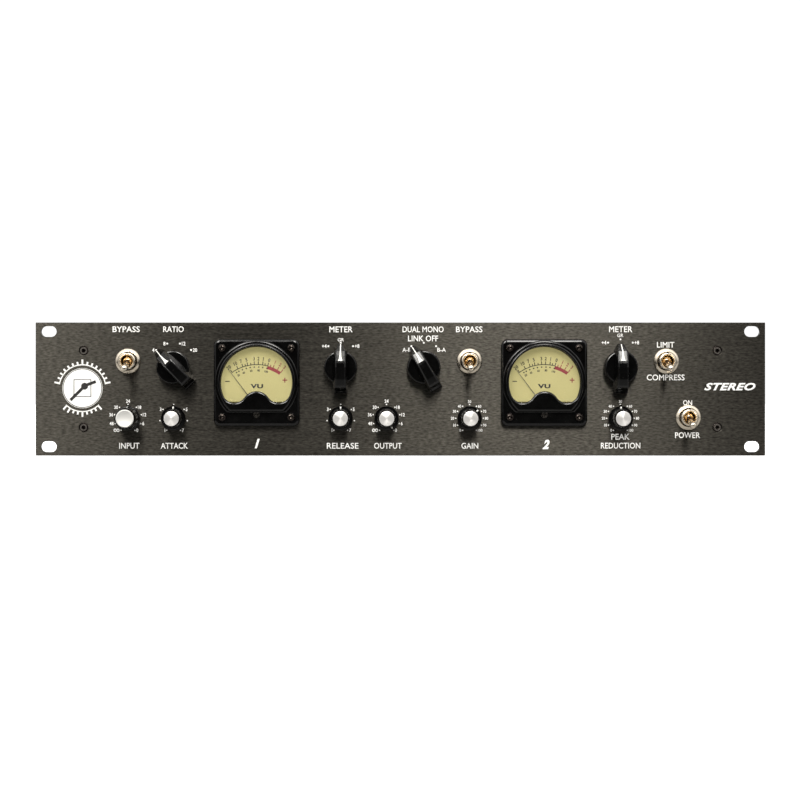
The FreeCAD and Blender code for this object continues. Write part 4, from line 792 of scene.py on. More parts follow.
# the pointed nib at the skirt's edge: centre along and up, width, length, depth, taper
NIB_ALONG, NIB_UP, NIB_SIZE, NIB_TAPER = 8.1, 1.85, (2.0, 1.8, 2.3), 0.35


def knob_outline(r, top):
    """Outline of a skirted knob from the nut hollow, round the outside, to the cap's seat."""
    cap = r - CAP_WALL
    return [(0, NUT_HOLLOW_HEIGHT), (NUT_HOLLOW_RADIUS, NUT_HOLLOW_HEIGHT),
            (NUT_HOLLOW_RADIUS, KNOB_GAP), (7.85, KNOB_GAP), (SKIRT_RADIUS, 0.8),
            (SKIRT_RADIUS, 2.9), (7.85, 3.1), (7.6, SKIRT_RISE), (r + 0.3, 3.18),
            (r + 0.08, 3.4), (r, 3.9), (r - 0.42, top - 0.7), (r - 0.55, top - 0.25),
            (r - 0.85, top), (cap + 0.1, top), (cap + 0.05, top - CAP_SEAT),
            (0, top - CAP_SEAT)]


def cap_outline(r, top, big):
    """Outline of a cap: a flat with a raised rim on the big knob, plain on the others."""
    cap = r - CAP_WALL
    if big:
        face = [(0, top + 0.15), (cap - 1.15, top + 0.15), (cap - 1.0, top + 0.3),
                (cap - 0.5, top + 0.36), (cap - 0.12, top + 0.2), (cap, top - 0.1)]
    else:
        face = [(0, top + 0.3), (cap - 0.35, top + 0.3), (cap - 0.1, top + 0.22),
                (cap, top + 0.05)]
    return face + [(cap, top - CAP_SEAT), (0, top - CAP_SEAT)]


def flute(bm, radius, low, high):
    """Press shallow grip flutes into the knob's side."""
    look = bpy.context.scene.rack_knobs
    for vert in bm.verts:
        flat = Vector((vert.co.x, vert.co.y, 0))
        if low * MM < vert.co.z < high * MM and flat.length > (radius - FLUTE_REACH) * MM:
            turn = math.atan2(vert.co.y, vert.co.x)
            ease = 0.5 - 0.5 * math.cos(look.flutes * turn)
            flat *= 1 - look.flute_depth * ease / flat.length
            vert.co.x, vert.co.y = flat.x, flat.y


RINGS_PER_METRE = 50
CAP_METALLIC, SATIN_METALLIC = 0.6, 0.35


def polar_map(bm):
    """Lay the map so that its first axis runs round the cap, as its turned grain does."""
    layer = bm.loops.layers.uv.new("polar")
    for face in bm.faces:
        middle = face.calc_center_median()
        base = math.atan2(middle.y, middle.x)
        for loop in face.loops:
            x, y = loop.vert.co.x, loop.vert.co.y
            turn = math.atan2(y, x) if math.hypot(x, y) > 10 * SAME_SPOT else base
            turn = base + math.remainder(turn - base, 2 * math.pi)
            loop[layer].uv = (turn / (2 * math.pi), math.hypot(x, y) * RINGS_PER_METRE)


def spun_metal(name, slot, roughness, grain):
    """Metal with its grain running round the cap."""
    look = bpy.context.scene.rack_knobs
    metal = finish(name, slot, look.cap_colour, roughness, CAP_METALLIC, Anisotropic=grain,
                   Anisotropic_Rotation=QUARTER_TURN)
    nodes, links = metal.node_tree.nodes, metal.node_tree.links
    direction = nodes.new("ShaderNodeTangent")
    direction.direction_type = "UV_MAP"
    direction.uv_map = "polar"
    links.new(direction.outputs[0], nodes["Principled BSDF"].inputs["Tangent"])
    vary_roughness(metal, (500, 500, 500), roughness - 0.04, roughness + 0.05)
    return metal


def pointer_knobs():
    """Fluted knobs with a skirt, a nib, a painted line and a metal cap."""
    plastic = gloss_black("skirt_knob_black", "knob_gloss")
    paint = ink("skirt_line", bpy.context.scene.rack_knobs.line_colour, "knob_gloss")
    spun = spun_metal("spun_cap", "cap_spun", 0.32, 0.85)
    satin = finish("satin_cap", "cap_satin", (0.70, 0.70, 0.675), 0.55, SATIN_METALLIC)
    vary_roughness(satin, (600, 600, 600), 0.48, 0.62)
    for name in POTS:
        big = name == "input"
        width, height = BIG_KNOB if big else SMALL_KNOB
        r, top = width / 2, KNOB_GAP + height
        place = facing(*spot(f"{name}_turn"), turn=rest_turn(name))
        bm = lathe(bmesh.new(), knob_outline(r, top), 180)
        flute(bm, r, FLUTE_FOOT, top - 0.1)
        for vert in block(bm, 0, NIB_ALONG, NIB_UP, *NIB_SIZE):
            if vert.co.y > NIB_ALONG * MM:
                vert.co.x *= NIB_TAPER
        piece = add_piece(f"{name}_skirt_knob", bm, plastic, f"{name}_control", place, crease=40)
        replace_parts(piece, f"{name}_knob")
        bm = bmesh.new()
        strip(bm, [(7.75, 0.42, 3.1), (7.6, 0.46, SKIRT_RISE), (r + 0.3, 0.46, 3.18)])
        strip(bm, [(r + 0.06, 0.42, 3.5), (r - 0.05, 0.42, 5.5)], depth=0.04)
        add_piece(f"{name}_skirt_line", bm, paint, f"{name}_control", place)
        bm = lathe(bmesh.new(), cap_outline(r, top, big))
        polar_map(bm)
        piece = add_piece(f"{name}_metal_cap", bm, satin if big else spun, f"{name}_control",
                          place, crease=50)
        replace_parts(piece, f"{name}_cap")


# ---------------------------------------------------------------- toggles

# sections of the turned pieces, as (radius, height) in millimetres from the panel's face
DRESS_NUT = [(6.15, 0.02), (8.25, 0.02), (8.4, 0.2), (8.4, 0.5), (8.25, 0.85), (7.8, 1.2),
             (7.2, 1.6), (6.7, 1.95), (6.4, 2.1), (6.2, 2.0), (6.15, 1.7)]
SLEEVE = [(4.05, -2.0), (5.02, -2.0), (5.02, 7.18), (4.8, 7.3), (4.5, 7.25), (4.2, 7.0),
          (4.05, 6.7)]
BORE_LINER = [(3.85, -2.0), (4.06, -2.0), (4.06, 7.05), (3.95, 7.12), (3.85, 7.0)]
CREST, ROOT, THREAD_START, THREAD_LENGTH = 5.6, 5.35, 3.3, 3.4
THREAD_CORE, BUSHING_FOOT = 5.0, -2.0
KEYWAY = math.radians(15)
# the switch behind the panel: its block, its gap to the panel and its three tags
SWITCH_BLOCK, SWITCH_GAP = (16, 28, 21), 1.0
SWITCH_TAG, TAG_ROWS = (5, 0.9, 6), (-9, 0, 9)
HEX_NUTS = ((POTS, 10.0, 2.0), (SELECTORS, 12.0, 2.2))


def threaded_bushing(pitch):
    """A thread that a keyway cuts through at the top, over a smooth sleeve."""
    outline = [(THREAD_CORE, BUSHING_FOOT), (CREST, BUSHING_FOOT)]
    for turn in range(int(THREAD_LENGTH / pitch) + 1):
        start = THREAD_START + turn * pitch
        outline += [(CREST, start), (ROOT, start + pitch * 0.5)]
    outline += [(CREST, 6.65), (CREST - 0.2, 6.9), (5.15, 7.1), (THREAD_CORE, 7.2)]
    bm = ring(bmesh.new(), outline, 90, 2 * math.pi - KEYWAY)
    bmesh.ops.rotate(bm, verts=bm.verts, cent=(0, 0, 0),
                     matrix=Matrix.Rotation(math.pi / 2 + KEYWAY / 2, 3, "Z"))
    bmesh.ops.holes_fill(bm, edges=bm.edges, sides=0)
    return ring(bm, SLEEVE)


def switch_block():
    """The switch's body and its three tags."""
    bm = bmesh.new()
    front = -BEHIND_PANEL - SWITCH_GAP
    back = front - SWITCH_BLOCK[2]
    block(bm, 0, 0, (front + back) / 2, *SWITCH_BLOCK)
    for tag in TAG_ROWS:
        block(bm, 0, tag, back - SWITCH_TAG[2] / 2, *SWITCH_TAG)
    return bm


def toggle_parts():
    """Dress nut, bushing, bore, switch and lever of each toggle, and the knobs' nuts."""
    look = bpy.context.scene.rack_toggles
    nickel = plated("warm_nickel", look.plate_colour, look.roughness)
    brass = plated("bore_brass", (0.60, 0.43, 0.22), 0.3)
    phenolic = cast_finish("switch_block", "nickel_plate", (0.05, 0.03, 0.02), 0.5, 0, 700, 1e-5)
    for name in TOGGLES:
        place = facing(*spot(f"{name}_throw"))
        nut = add_piece(f"{name}_dress_nut", ring(bmesh.new(), DRESS_NUT), nickel, place=place,
                        crease=60)
        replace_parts(nut, "panel_nuts")
        collar = add_piece(f"{name}_bushing", threaded_bushing(look.thread_pitch / MM), nickel,
                           place=place, crease=25)
        liner = add_piece(f"{name}_bore", ring(bmesh.new(), BORE_LINER), brass, place=place,
                          crease=30)
        case = add_piece(f"{name}_switch", switch_block(), phenolic, place=place,
                         rounding=0.3 * MM)
        for piece in (collar, liner, case):
            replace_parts(piece, "toggle_switches")
        bat_lever(name, nickel)
    hexes = bmesh.new()
    for names, flats, height in HEX_NUTS:
        for name in names:
            nut = ring(bmesh.new(), hex_section(flats, height), 6)
            pour(nut, hexes, facing(*spot(f"{name}_turn")))
    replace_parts(add_piece("bushing_nuts", hexes, nickel), "panel_nuts")


def hex_section(flats, height):
    """Section of a thin hexagon nut, to spin in six steps."""
    outer, bore = flats / math.sqrt(3), flats * 0.36
    return [(bore, 0), (outer, 0), (outer, height), (bore, height)]


LEVER_LENGTH, PIVOT_BALL, TIP_BALL = 20.0, 3.6, 2.2
BAT = [(2.02, 3.4), (1.95, 5.5), (1.85, 6.2), (1.62, 14.6)]
LEVER_TAIL = [(0, -10), (1.2, -10), (1.2, -2.5)]


def bat_lever(name, metal):
    """Ball pivot, tapered bat and ball tip, leaning half its throw down at rest."""
    joint = JOINTS[f"{name}_throw"]
    lean = Matrix.Rotation(math.radians(joint["range_deg"][1] / 2), 4, "X")
    place = Matrix.Translation(joint["pos_m"]) @ Matrix.Rotation(math.pi / 2, 4, "X") @ lean
    ball = arc(0, 0, PIVOT_BALL, -90, 56, 16)
    end = arc(0, LEVER_LENGTH - TIP_BALL, TIP_BALL, -44, 90, 14)
    bm = bmesh.new()
    lathe(bm, [(max(radius, 0.0), height) for radius, height in ball + BAT + end], 64)
    lathe(bm, LEVER_TAIL, 24)
    piece = add_piece(f"{name}_bat", bm, metal, f"{name}_toggle", place, crease=50)
    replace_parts(piece, f"{name}_lever")


# ---------------------------------------------------------------- meters

SCALE_MARKS = (("20", -35.4), ("10", -26.2), ("7", -19.1), ("", -15.5), ("5", -12.4), ("", -8.0),
               ("3", -3.3), ("2", 1.9), ("1", 7.8), ("", 11.0), ("0", 14.9), ("", 18.6),
               ("1", 22.5), ("2", 29.0), ("3", 34.9))
PERCENT_DOTS = (-30.4, -26.6, -21.0, -15.2, -9.6, -3.6, 2.7, 8.5, 14.6)
PERCENT_WORDS = (("20", -29.9), ("40", -21.0), ("60", -8.8), ("80", 2.9), ("100", 14.8))
RED_FROM = 14.9
PIVOT_DROP = 16.05
# radii from the needle's pivot
SCALE_RADIUS, RED_RADIUS, DOT_RADIUS = 27.8, 25.9, 26.4
MARK_WORD_RADIUS, PERCENT_WORD_RADIUS = 32.0, 24.2
LONG_MARK, SHORT_MARK, MARK_WIDTH = 2.4, 1.6, 0.55
# centre right and up from the pivot, width and height
MINUS_SIGN = (-19.4, PIVOT_DROP + 0.9, 3.0, 0.6)
PLUS_SIGN = ((18.5, PIVOT_DROP + 1.7, 3.2, 0.7), (18.5, PIVOT_DROP + 1.7, 0.7, 3.2))
# the bezel's plate, and its discs as radius and where their lower side is cut off
BEZEL_PLATE = (56.8, 57.6, 4.3)
DIAL_OPENING, RING_EDGE, HUB_EDGE = (24.6, -18.0), (27.9, -19.8), (25.9, -18.9)
# the window: its large arc, its lobes, the arch between them, and how they stand apart
WINDOW_RADIUS, LOBE_RADIUS, ARCH_RADIUS, WINDOW_RISE, LOBE_SPREAD = 23.5, 8.0, 9.6, 0.3, 14.5


def window_outline():
    """Large arc, a lobe at each side and the arch between them, all tangent."""
    big, lobe, arch_r = WINDOW_RADIUS, LOBE_RADIUS, ARCH_RADIUS
    rise, spread = WINDOW_RISE, LOBE_SPREAD
    lobe_y = rise - math.sqrt((big - lobe) ** 2 - spread ** 2)
    arch_y = lobe_y - math.sqrt((arch_r + lobe) ** 2 - spread ** 2)
    lean = math.degrees(math.atan2(rise - lobe_y, spread))
    dip = math.degrees(math.atan2(lobe_y - arch_y, spread))
    points = arc(0, rise, big, -lean, 180 + lean, 96)
    points += arc(-spread, lobe_y, lobe, 180 + lean, 360 - dip, 24)[1:]
    points += arc(0, arch_y, arch_r, 180 - dip, dip, 24)[1:]
    points += arc(spread, lobe_y, lobe, 180 + dip, 360 - lean, 24)[1:-1]
    return points


def rounded_box(width, height, radius, steps=12):
    """Outline of a plate with round corners."""
    points = []
    for turn, (sx, sy) in enumerate(((1, 1), (-1, 1), (-1, -1), (1, -1))):
        points += arc(sx * (width / 2 - radius), sy * (height / 2 - radius), radius,
                      90 * turn, 90 * turn + 90, steps)
    return points


def clipped_disc(radius, chord, steps=96):
    """Outline of a disc whose lower side is cut off level."""
    low = math.degrees(math.asin(chord / radius))
    return arc(0, 0, radius, low, 180 - low, steps)


def meters():
    """Each meter's bezel in three layers, and its printed dial."""
    look = bpy.context.scene.rack_meters
    rim = look.rim / MM
    moulding = gloss_black("bezel_black", "bezel_gloss")
    black = ink("scale_ink", look.scale_colour, "dial_cream")
    red = ink("scale_red", look.red_colour, "dial_cream")
    opening = clipped_disc(*DIAL_OPENING)
    # name, outline, hole, height of the foot, thickness, rounding
    layers = (("plate", rounded_box(*BEZEL_PLATE), opening, 0, 4.0, rim),
              ("skirt", clipped_disc(*RING_EDGE), opening, 3.0, 2.4, 1.15),
              ("hub", clipped_disc(*HUB_EDGE), window_outline(), 4.4, 2.6, 1.25))
    for side in METERS:
        x, z = meter_spot(side)
        for name, outer, hole, base, thick, rounding in layers:
            shape = flat_curve([outer, hole[::-1]], thick, rounding)
            shape.transform(facing(x, z, (base + thick / 2) * MM))
            piece = add_mesh(f"{side}_bezel_{name}", shape, moulding, crease=40)
            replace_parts(piece, "meter_bezels")
        print_dial(side, black, red)


def print_dial(side, black, red):
    """The dial's level scale, its red end, the percent scale and the signs."""
    x, z = meter_spot(side)
    pivot = Matrix.Translation((x, DIAL_FACE, z - PIVOT_DROP * MM)) @ Matrix.Rotation(
        math.pi / 2, 4, "X")
    dark, bright = bmesh.new(), bmesh.new()
    band(dark, SCALE_RADIUS, 0.5, SCALE_MARKS[0][1], RED_FROM, steps=60)
    band(bright, RED_RADIUS, 2.2, RED_FROM, SCALE_MARKS[-1][1], steps=30)
    for word, angle in SCALE_MARKS:
        target = bright if angle > RED_FROM + 1 else dark
        length = LONG_MARK if word else SHORT_MARK
        dx, dy = on_dial(angle, SCALE_RADIUS + length / 2)
        block(target, dx, dy, INK_DEPTH / 2, MARK_WIDTH, length, INK_DEPTH, angle)
        if word:
            dx, dy = on_dial(angle, MARK_WORD_RADIUS)
            add_text(target, word, dx, dy, 2.4, turn=angle, weight=0.03)
    for angle in PERCENT_DOTS:
        dot(dark, *on_dial(angle, DOT_RADIUS), 0.5, sides=12)
    for word, angle in PERCENT_WORDS:
        dx, dy = on_dial(angle, PERCENT_WORD_RADIUS)
        add_text(dark, word, dx, dy, 1.5, turn=angle, weight=0.04)
    for target, (dx, dy, wide, tall) in ((dark, MINUS_SIGN), *((bright, bar) for bar in PLUS_SIGN)):
        block(target, dx, dy, INK_DEPTH / 2, wide, tall, INK_DEPTH)
    add_text(dark, "VU", 0, PIVOT_DROP - 2.3, 2.9, 8.4, weight=NUMBER_WEIGHT)
    add_piece(f"{side}_dial_scale", dark, black, place=pivot)
    add_piece(f"{side}_dial_red_scale", bright, red, place=pivot)


# ---------------------------------------------------------------- screws

def islands(node):
    """Corners of each separate solid in a node."""
    bm = bmesh.new()
    bm.from_mesh(frame["nodes"][node].data)
    bmesh.ops.remove_doubles(bm, verts=bm.verts, dist=10 * SAME_SPOT)
    left, found = set(bm.verts), []
    for first in bm.verts:
        if first not in left:
            continue
        left.remove(first)
        todo, group = [first], []
        while todo:
            vert = todo.pop()
            group.append(vert.co.copy())
            for edge in vert.link_edges:
                other = edge.other_vert(vert)
                if other in left:
                    left.remove(other)
                    todo.append(other)
        found.append(group)
    bm.free()
    return found


END_SLICE = 0.4


def screw_places(node):
    """Each screw's place, with Z out through the middle of its head's top."""
    for points in islands(node):
        low, high = extent(points)
        middle, span = (low + high) / 2, high - low
        long = max(range(3), key=lambda i: span[i])
        ends = []
        for end in (low, high):
            rims = [p for p in points if abs(p[long] - end[long]) < END_SLICE * MM]
            ends.append(max((p - middle).length for p in rims))
        head = high if ends[1] > ends[0] else low
        out = Vector([0, 0, 0])
        out[long] = 1 if head is high else -1
        middle[long] = head[long]
        yield Matrix.Translation(middle) @ out.to_track_quat("Z", "Y").to_matrix().to_4x4()


# half outline of the pan-head screw and of the flat socket head, from the head's top down
PAN_HEAD = [(0, 0.0), (0.3, -0.01), (0.5, -0.02), (0.7, -0.04), (0.9, -0.07), (1.1, -0.11),
            (1.35, -0.17), (1.6, -0.26), (1.9, -0.42), (2.2, -0.66), (2.45, -0.98),
            (2.62, -1.35), (2.7, -1.9), (1.5, -1.9), (1.5, -9.7), (0, -9.9)]
FLAT_HEAD = [(0, -1.4), (1.15, -1.4), (1.15, -0.1), (1.3, 0.0), (2.35, 0.0), (2.5, -0.12),
             (3.05, -0.5), (3.3, -0.62), (3.3, -0.8), (1.75, -2.2), (1.75, -9.0), (0, -9.2)]
# ring on each socket head's flat face; its lighter finish is a painted highlight where the face
# catches light like the panel
PAINTED_HIGHLIGHT_RING = [(1.35, -0.05), (1.42, 0.03), (2.2, 0.03), (2.3, -0.05)]
# the cross recess: width, reach, depth at the middle, how much shallower it ends
CROSS_WIDTH, CROSS_REACH, CROSS_DEPTH, CROSS_TAPER = 0.75, 1.45, 1.0, 0.6
DOME_ONLY = -0.9
# how the crosses of neighbouring screws are turned, in radians
FIRST_TURN, NEXT_TURN = 0.7, 2.1


def press_cross(bm):
    """Sink the vertices of a head that lie under a cross-shaped driver."""
    for vert in bm.verts:
        x, y = abs(vert.co.x) / MM, abs(vert.co.y) / MM
        far = max(x, y)
        if min(x, y) < CROSS_WIDTH / 2 and far < CROSS_REACH and vert.co.z > DOME_ONLY * MM:
            vert.co.z -= CROSS_DEPTH * MM * (1 - far / CROSS_REACH * CROSS_TAPER)


def screws():
    """The cross-head screws of meters, case and board, and the panel's socket-head ones."""
    oxide = finish("screw_black_oxide", "screw_black", (0.05, 0.042, 0.037), 0.16, 1.0)
    vary_roughness(oxide, (900, 900, 900), 0.10, 0.24)
    add_bump(oxide, (1800, 1800, 1800), 0.00002, 0.4)
    # the lighter, rougher face ring is a painted highlight for the light the flat face catches
    face_highlight = cast_finish("screw_face_painted_highlight", "screw_black", (0.13, 0.12, 0.11), 0.5, 1.0, 1500, 1e-5)
    heads = bmesh.new()
    for index, place in enumerate(screw_places("pan_screws")):
        bm = lathe(bmesh.new(), PAN_HEAD, 48)
        press_cross(bm)
        pour(bm, heads, place @ Matrix.Rotation(FIRST_TURN + NEXT_TURN * index, 4, "Z"))
    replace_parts(add_piece("cross_head_screws", heads, oxide, crease=35), "pan_screws")
    heads, rings = bmesh.new(), bmesh.new()
    for place in screw_places("panel_screws"):
        pour(lathe(bmesh.new(), FLAT_HEAD, 48), heads, place)
        pour(ring(bmesh.new(), PAINTED_HIGHLIGHT_RING, 48), rings, place)
    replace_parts(add_piece("socket_head_screws", heads, oxide, crease=30), "panel_screws")
    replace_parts(add_piece("socket_head_faces", rings, face_highlight, crease=30), "panel_screws")


# ---------------------------------------------------------------- node finishes

def clear_lens():
    """Clear acrylic that lets the lamps' light through to the dial."""
    glass = finish("lens_acrylic", "lens_clear", (1, 1, 1), 0.02, Transmission_Weight=1.0, IOR=1.3)
    nodes, links = glass.node_tree.nodes, glass.node_tree.links
    path, mix = nodes.new("ShaderNodeLightPath"), nodes.new("ShaderNodeMixShader")
    open_way = nodes.new("ShaderNodeBsdfTransparent")
    either = nodes.new("ShaderNodeMath")
    either.operation = "MAXIMUM"
    links.new(path.outputs["Is Shadow Ray"], either.inputs[0])
    links.new(path.outputs["Is Diffuse Ray"], either.inputs[1])
    links.new(either.outputs[0], mix.inputs[0])
    links.new(nodes["Principled BSDF"].outputs[0], mix.inputs[1])
    links.new(open_way.outputs[0], mix.inputs[2])
    links.new(mix.outputs[0], nodes["Material Output"].inputs["Surface"])
    return glass


# the share of the dial's colour that it reflects; the rest is painted glow that lifts the hub's
# shadow off the dial
CARD_SHARE = 0.45


def dress_meters():
    """Finish the dials, lenses, needles, zero screws and what is behind them."""
    look = bpy.context.scene.rack_meters
    # the card's emission is painted glow that evens out the hub's shadow on the dial; its base
    # colour is the dial's colour times CARD_SHARE
    card = finish("dial_card", "dial_cream", [c * CARD_SHARE for c in look.dial_colour], 0.75,
                  Emission_Color=(*look.dial_colour, 1), Emission_Strength=look.painted_dial_glow)
    vary_colour(card, (60, 60, 60), 0.93, 1.05, 2.0)
    add_bump(card, (2500, 2500, 2500), 0.00001, 0.3)
    dress("meter_dials", card)
    dress("meter_lenses", clear_lens())
    needle_paint = cast_finish("needle_paint", "needle_black", (0.02, 0.02, 0.02), 0.5, 0, 900,
                               5e-6)
    screw = finish("zero_screw_black", "bezel_gloss", (0.12, 0.11, 0.10), 0.3, 1.0)
    vary_roughness(screw, (900, 900, 900), 0.2, 0.35)
    for side in METERS:
        dress(f"{side}_needle", needle_paint)
        dress(f"{side}_zero_screw", screw)
    tin = cast_finish("tinned_can", "can_steel", (0.55, 0.54, 0.52), 0.35, 1.0, 300, 1e-5)
    dress("meter_cans", tin)
    dress("potentiometers", tin)
    dress("meter_movements", cast_finish("plain_steel", "standoff_steel", (0.5, 0.5, 0.5), 0.4,
                                         1.0, 500, 1e-5))


def dress_case():
    """Powder coat on the case's sheets, brushed metal on the panel."""
    look = bpy.context.scene.rack_case
    coat = cast_finish("powder_coat", "case_paint", look.paint_colour, 0.5, 0.0,
                       look.paint_grain, 0.00006)
    for node in ("case_tray", "top_cover", "rear_panel"):
        dress(node, coat)
    dress("front_panel", brushed_panel())


def dress_rear():
    """Nickel shells on the sockets, moulded plastic on the jacks and the inlet."""
    shell = cast_finish("satin_nickel", "socket_shell", (0.50, 0.49, 0.47), 0.33, 1.0, 600, 1e-5)
    plastic = cast_finish("moulded_black", "socket_plastic", (0.015, 0.015, 0.015), 0.42, 0.0,
                          1200, 2e-5)
    for node in ("input_sockets", "output_sockets"):
        dress(node, shell)
    for node in ("jack_sockets", "mains_inlet", "fuse_drawer"):
        dress(node, plastic)


def dress_inside():
    """Finishes for what the case holds: node, slot, colour, roughness, metallic."""
    rows = (
        ("main_board", "board_laminate", (0.02, 0.12, 0.06), 0.4, 0.0),
        ("board_standoffs", "standoff_steel", (0.55, 0.55, 0.55), 0.35, 1.0),
        ("audio_transformers", "standoff_steel", (0.32, 0.32, 0.33), 0.45, 1.0),
        ("capacitors", "capacitor_sleeve", (0.03, 0.05, 0.16), 0.3, 0.0),
        ("opto_cell", "capacitor_sleeve", (0.5, 0.5, 0.5), 0.3, 1.0),
        ("power_transformer", "winding_tape", (0.55, 0.40, 0.08), 0.45, 0.0),
        ("selector_switches", "switch_plastic", (0.22, 0.13, 0.06), 0.55, 0.0),
    )
    for node, slot, colour, roughness, metallic in rows:
        dress(node, cast_finish(f"{node}_finish", slot, colour, roughness, metallic, 500, 2e-5))
    brass = cast_finish("turned_brass", "shaft_brass", (0.7, 0.55, 0.25), 0.3, 1.0, 600, 5e-6)
    for name in SELECTORS + POTS:
        dress(f"{name}_shaft", brass)


# ---------------------------------------------------------------- stage

WARM, COOL = (1.0, 0.97, 0.92), (0.93, 0.96, 1.0)
# name, place, target, size, power, colour; metres and watts
LAMPS = (
    ("key_above_right", (0.215, -1.2, 1.05), (0.06, 0, 0), (0.43, 0.8), 17, WARM),
    ("key_above_left", (-0.62, -1.2, 1.05), (-0.1, 0, 0), (0.52, 0.8), 18, WARM),
    ("rear_soft", (-0.6, 1.6, 1.0), (0, 0.1, 0), (1.2, 0.8), 10, COOL),
)
FLOOR_HALF, FLOOR_GAP = 4.0, 0.0002
# what the object mirrors of the floor: nothing near the camera, some close to the panel
MIRRORED_FLOOR = {"From Min": -0.17, "From Max": -0.06, "To Min": 0.02, "To Max": 0.3}
# the surround is dark behind the camera, bright elsewhere, and dimmer near the horizon
SURROUND_EDGE = {"From Min": -0.82, "From Max": -0.66, "To Min": 0.03}
SURROUND_LEAN = {"From Max": 0.6, "To Min": 0.4}
BACKDROP_STRENGTH = 1.1
FRAMING_SHIFT = (0.03726, -0.01365)


def lamp(name, place, target, size, power, colour):
    """A soft rectangular lamp that points at a target."""
    light = bpy.data.lights.new(name, "AREA")
    light.shape = "RECTANGLE"
    light.size, light.size_y = size
    light.energy = power * bpy.context.scene.rack_stage.strength
    light.color = colour
    holder = bpy.data.objects.new(name, light)
    holder.location = place
    holder.rotation_euler = (Vector(target) - Vector(place)).to_track_quat("-Z", "Y").to_euler()
    bpy.context.scene.collection.objects.link(holder)


def stage_floor():
    """A pale floor: bright to the eye, dim to what the object mirrors."""
    look = bpy.context.scene.rack_stage
    bm = bmesh.new()
    bmesh.ops.create_grid(bm, x_segments=1, y_segments=1, size=FLOOR_HALF)
    bmesh.ops.translate(bm, vec=(0, 0, CAD_BOX[0][2] - FLOOR_GAP), verts=bm.verts)
    mesh = bpy.data.meshes.new("floor")
    bm.to_mesh(mesh)
    bm.free()
    floor = bpy.data.objects.new("floor", mesh)
    bpy.context.scene.collection.objects.link(floor)
    pale = bpy.data.materials.new("pale_floor")
    pale.use_nodes = True
    nodes, links = pale.node_tree.nodes, pale.node_tree.links
    shader = nodes["Principled BSDF"]
    shader.inputs["Base Color"].default_value = (*look.floor_colour, 1)
    shader.inputs["Roughness"].default_value = 0.9
    shader.inputs["Emission Color"].default_value = (1, 1, 1, 1)
    shader.inputs["Emission Strength"].default_value = look.floor_glow
    dim, near = nodes.new("ShaderNodeBsdfDiffuse"), map_range(nodes, MIRRORED_FLOOR)
    place, split = nodes.new("ShaderNodeTexCoord"), nodes.new("ShaderNodeSeparateXYZ")
    links.new(place.outputs["Object"], split.inputs[0])
    links.new(split.outputs["Y"], near.inputs["Value"])
    links.new(near.outputs["Result"], dim.inputs["Color"])
    camera_switch(nodes, links, dim, shader, "Material Output")
    mesh.materials.append(pale)


def stage_world():
    """White to the eye; to the object a dark front inside a bright surround."""
    look = bpy.context.scene.rack_stage
    world = bpy.data.worlds.new("studio")
    bpy.context.scene.world = world
    world.use_nodes = True
    nodes, links = world.node_tree.nodes, world.node_tree.links
    seen, given = nodes.new("ShaderNodeBackground"), nodes["Background"]
    seen.inputs["Color"].default_value = (1, 1, 1, 1)
    seen.inputs["Strength"].default_value = BACKDROP_STRENGTH
    given.inputs["Color"].default_value = (1.0, 0.985, 0.96, 1)
    way, split = nodes.new("ShaderNodeTexCoord"), nodes.new("ShaderNodeSeparateXYZ")
    links.new(way.outputs["Generated"], split.inputs[0])
    edge = map_range(nodes, SURROUND_EDGE)
    edge.interpolation_type = "SMOOTHSTEP"
    edge.inputs["To Max"].default_value = look.surround
    links.new(split.outputs["Y"], edge.inputs["Value"])
    upright = nodes.new("ShaderNodeMath")
    upright.operation = "ABSOLUTE"
    links.new(split.outputs["Z"], upright.inputs[0])
    lean = map_range(nodes, SURROUND_LEAN)
    links.new(upright.outputs[0], lean.inputs["Value"])
    both = nodes.new("ShaderNodeMath")
    both.operation = "MULTIPLY"
    links.new(edge.outputs["Result"], both.inputs[0])
    links.new(lean.outputs["Result"], both.inputs[1])
    links.new(both.outputs[0], given.inputs["Strength"])
    camera_switch(nodes, links, given, seen, "World Output")


def map_range(nodes, limits):
    """A range node with its limits."""
    node = nodes.new("ShaderNodeMapRange")
    for name, number in limits.items():
        node.inputs[name].default_value = number
    return node


def camera_switch(nodes, links, hidden, seen, output):
    """Show the camera one shader and everything else the other."""
    path, mix = nodes.new("ShaderNodeLightPath"), nodes.new("ShaderNodeMixShader")
    links.new(path.outputs["Is Camera Ray"], mix.inputs[0])
    links.new(hidden.outputs[0], mix.inputs[1])
    links.new(seen.outputs[0], mix.inputs[2])
    links.new(mix.outputs[0], nodes[output].inputs["Surface"])


def stage_camera():
    """A camera square to the panel, framed by its shift."""
    look = bpy.context.scene.rack_stage
    data = bpy.data.cameras.new("camera")
    data.lens = look.lens
    data.sensor_width = 36.0
    data.shift_x, data.shift_y = FRAMING_SHIFT
    data.clip_end = 50
    camera = bpy.data.objects.new("camera", data)
    camera.location = (-look.offset, -look.distance, 0.0)
    camera.rotation_euler = (math.pi / 2, 0, 0)
    bpy.context.scene.collection.objects.link(camera)
    bpy.context.scene.camera = camera
    bpy.context.scene.view_settings.view_transform = "Standard"


# ---------------------------------------------------------------- operators and panel

class RACK_OT_stage(bpy.types.Operator):
    """Set the camera, the pale floor and the lights."""
    bl_idname = "rack.stage"
    bl_label = "Stage"

    def execute(self, context):
        stage_camera()
        stage_floor()
        stage_world()
        for row in LAMPS:
            lamp(*row)
        return {"FINISHED"}


class RACK_OT_case(bpy.types.Operator):
    """Finish the front panel and the case."""
    bl_idname = "rack.case"
    bl_label = "Panel and case"

    def execute(self, context):
        dress_case()
        return {"FINISHED"}


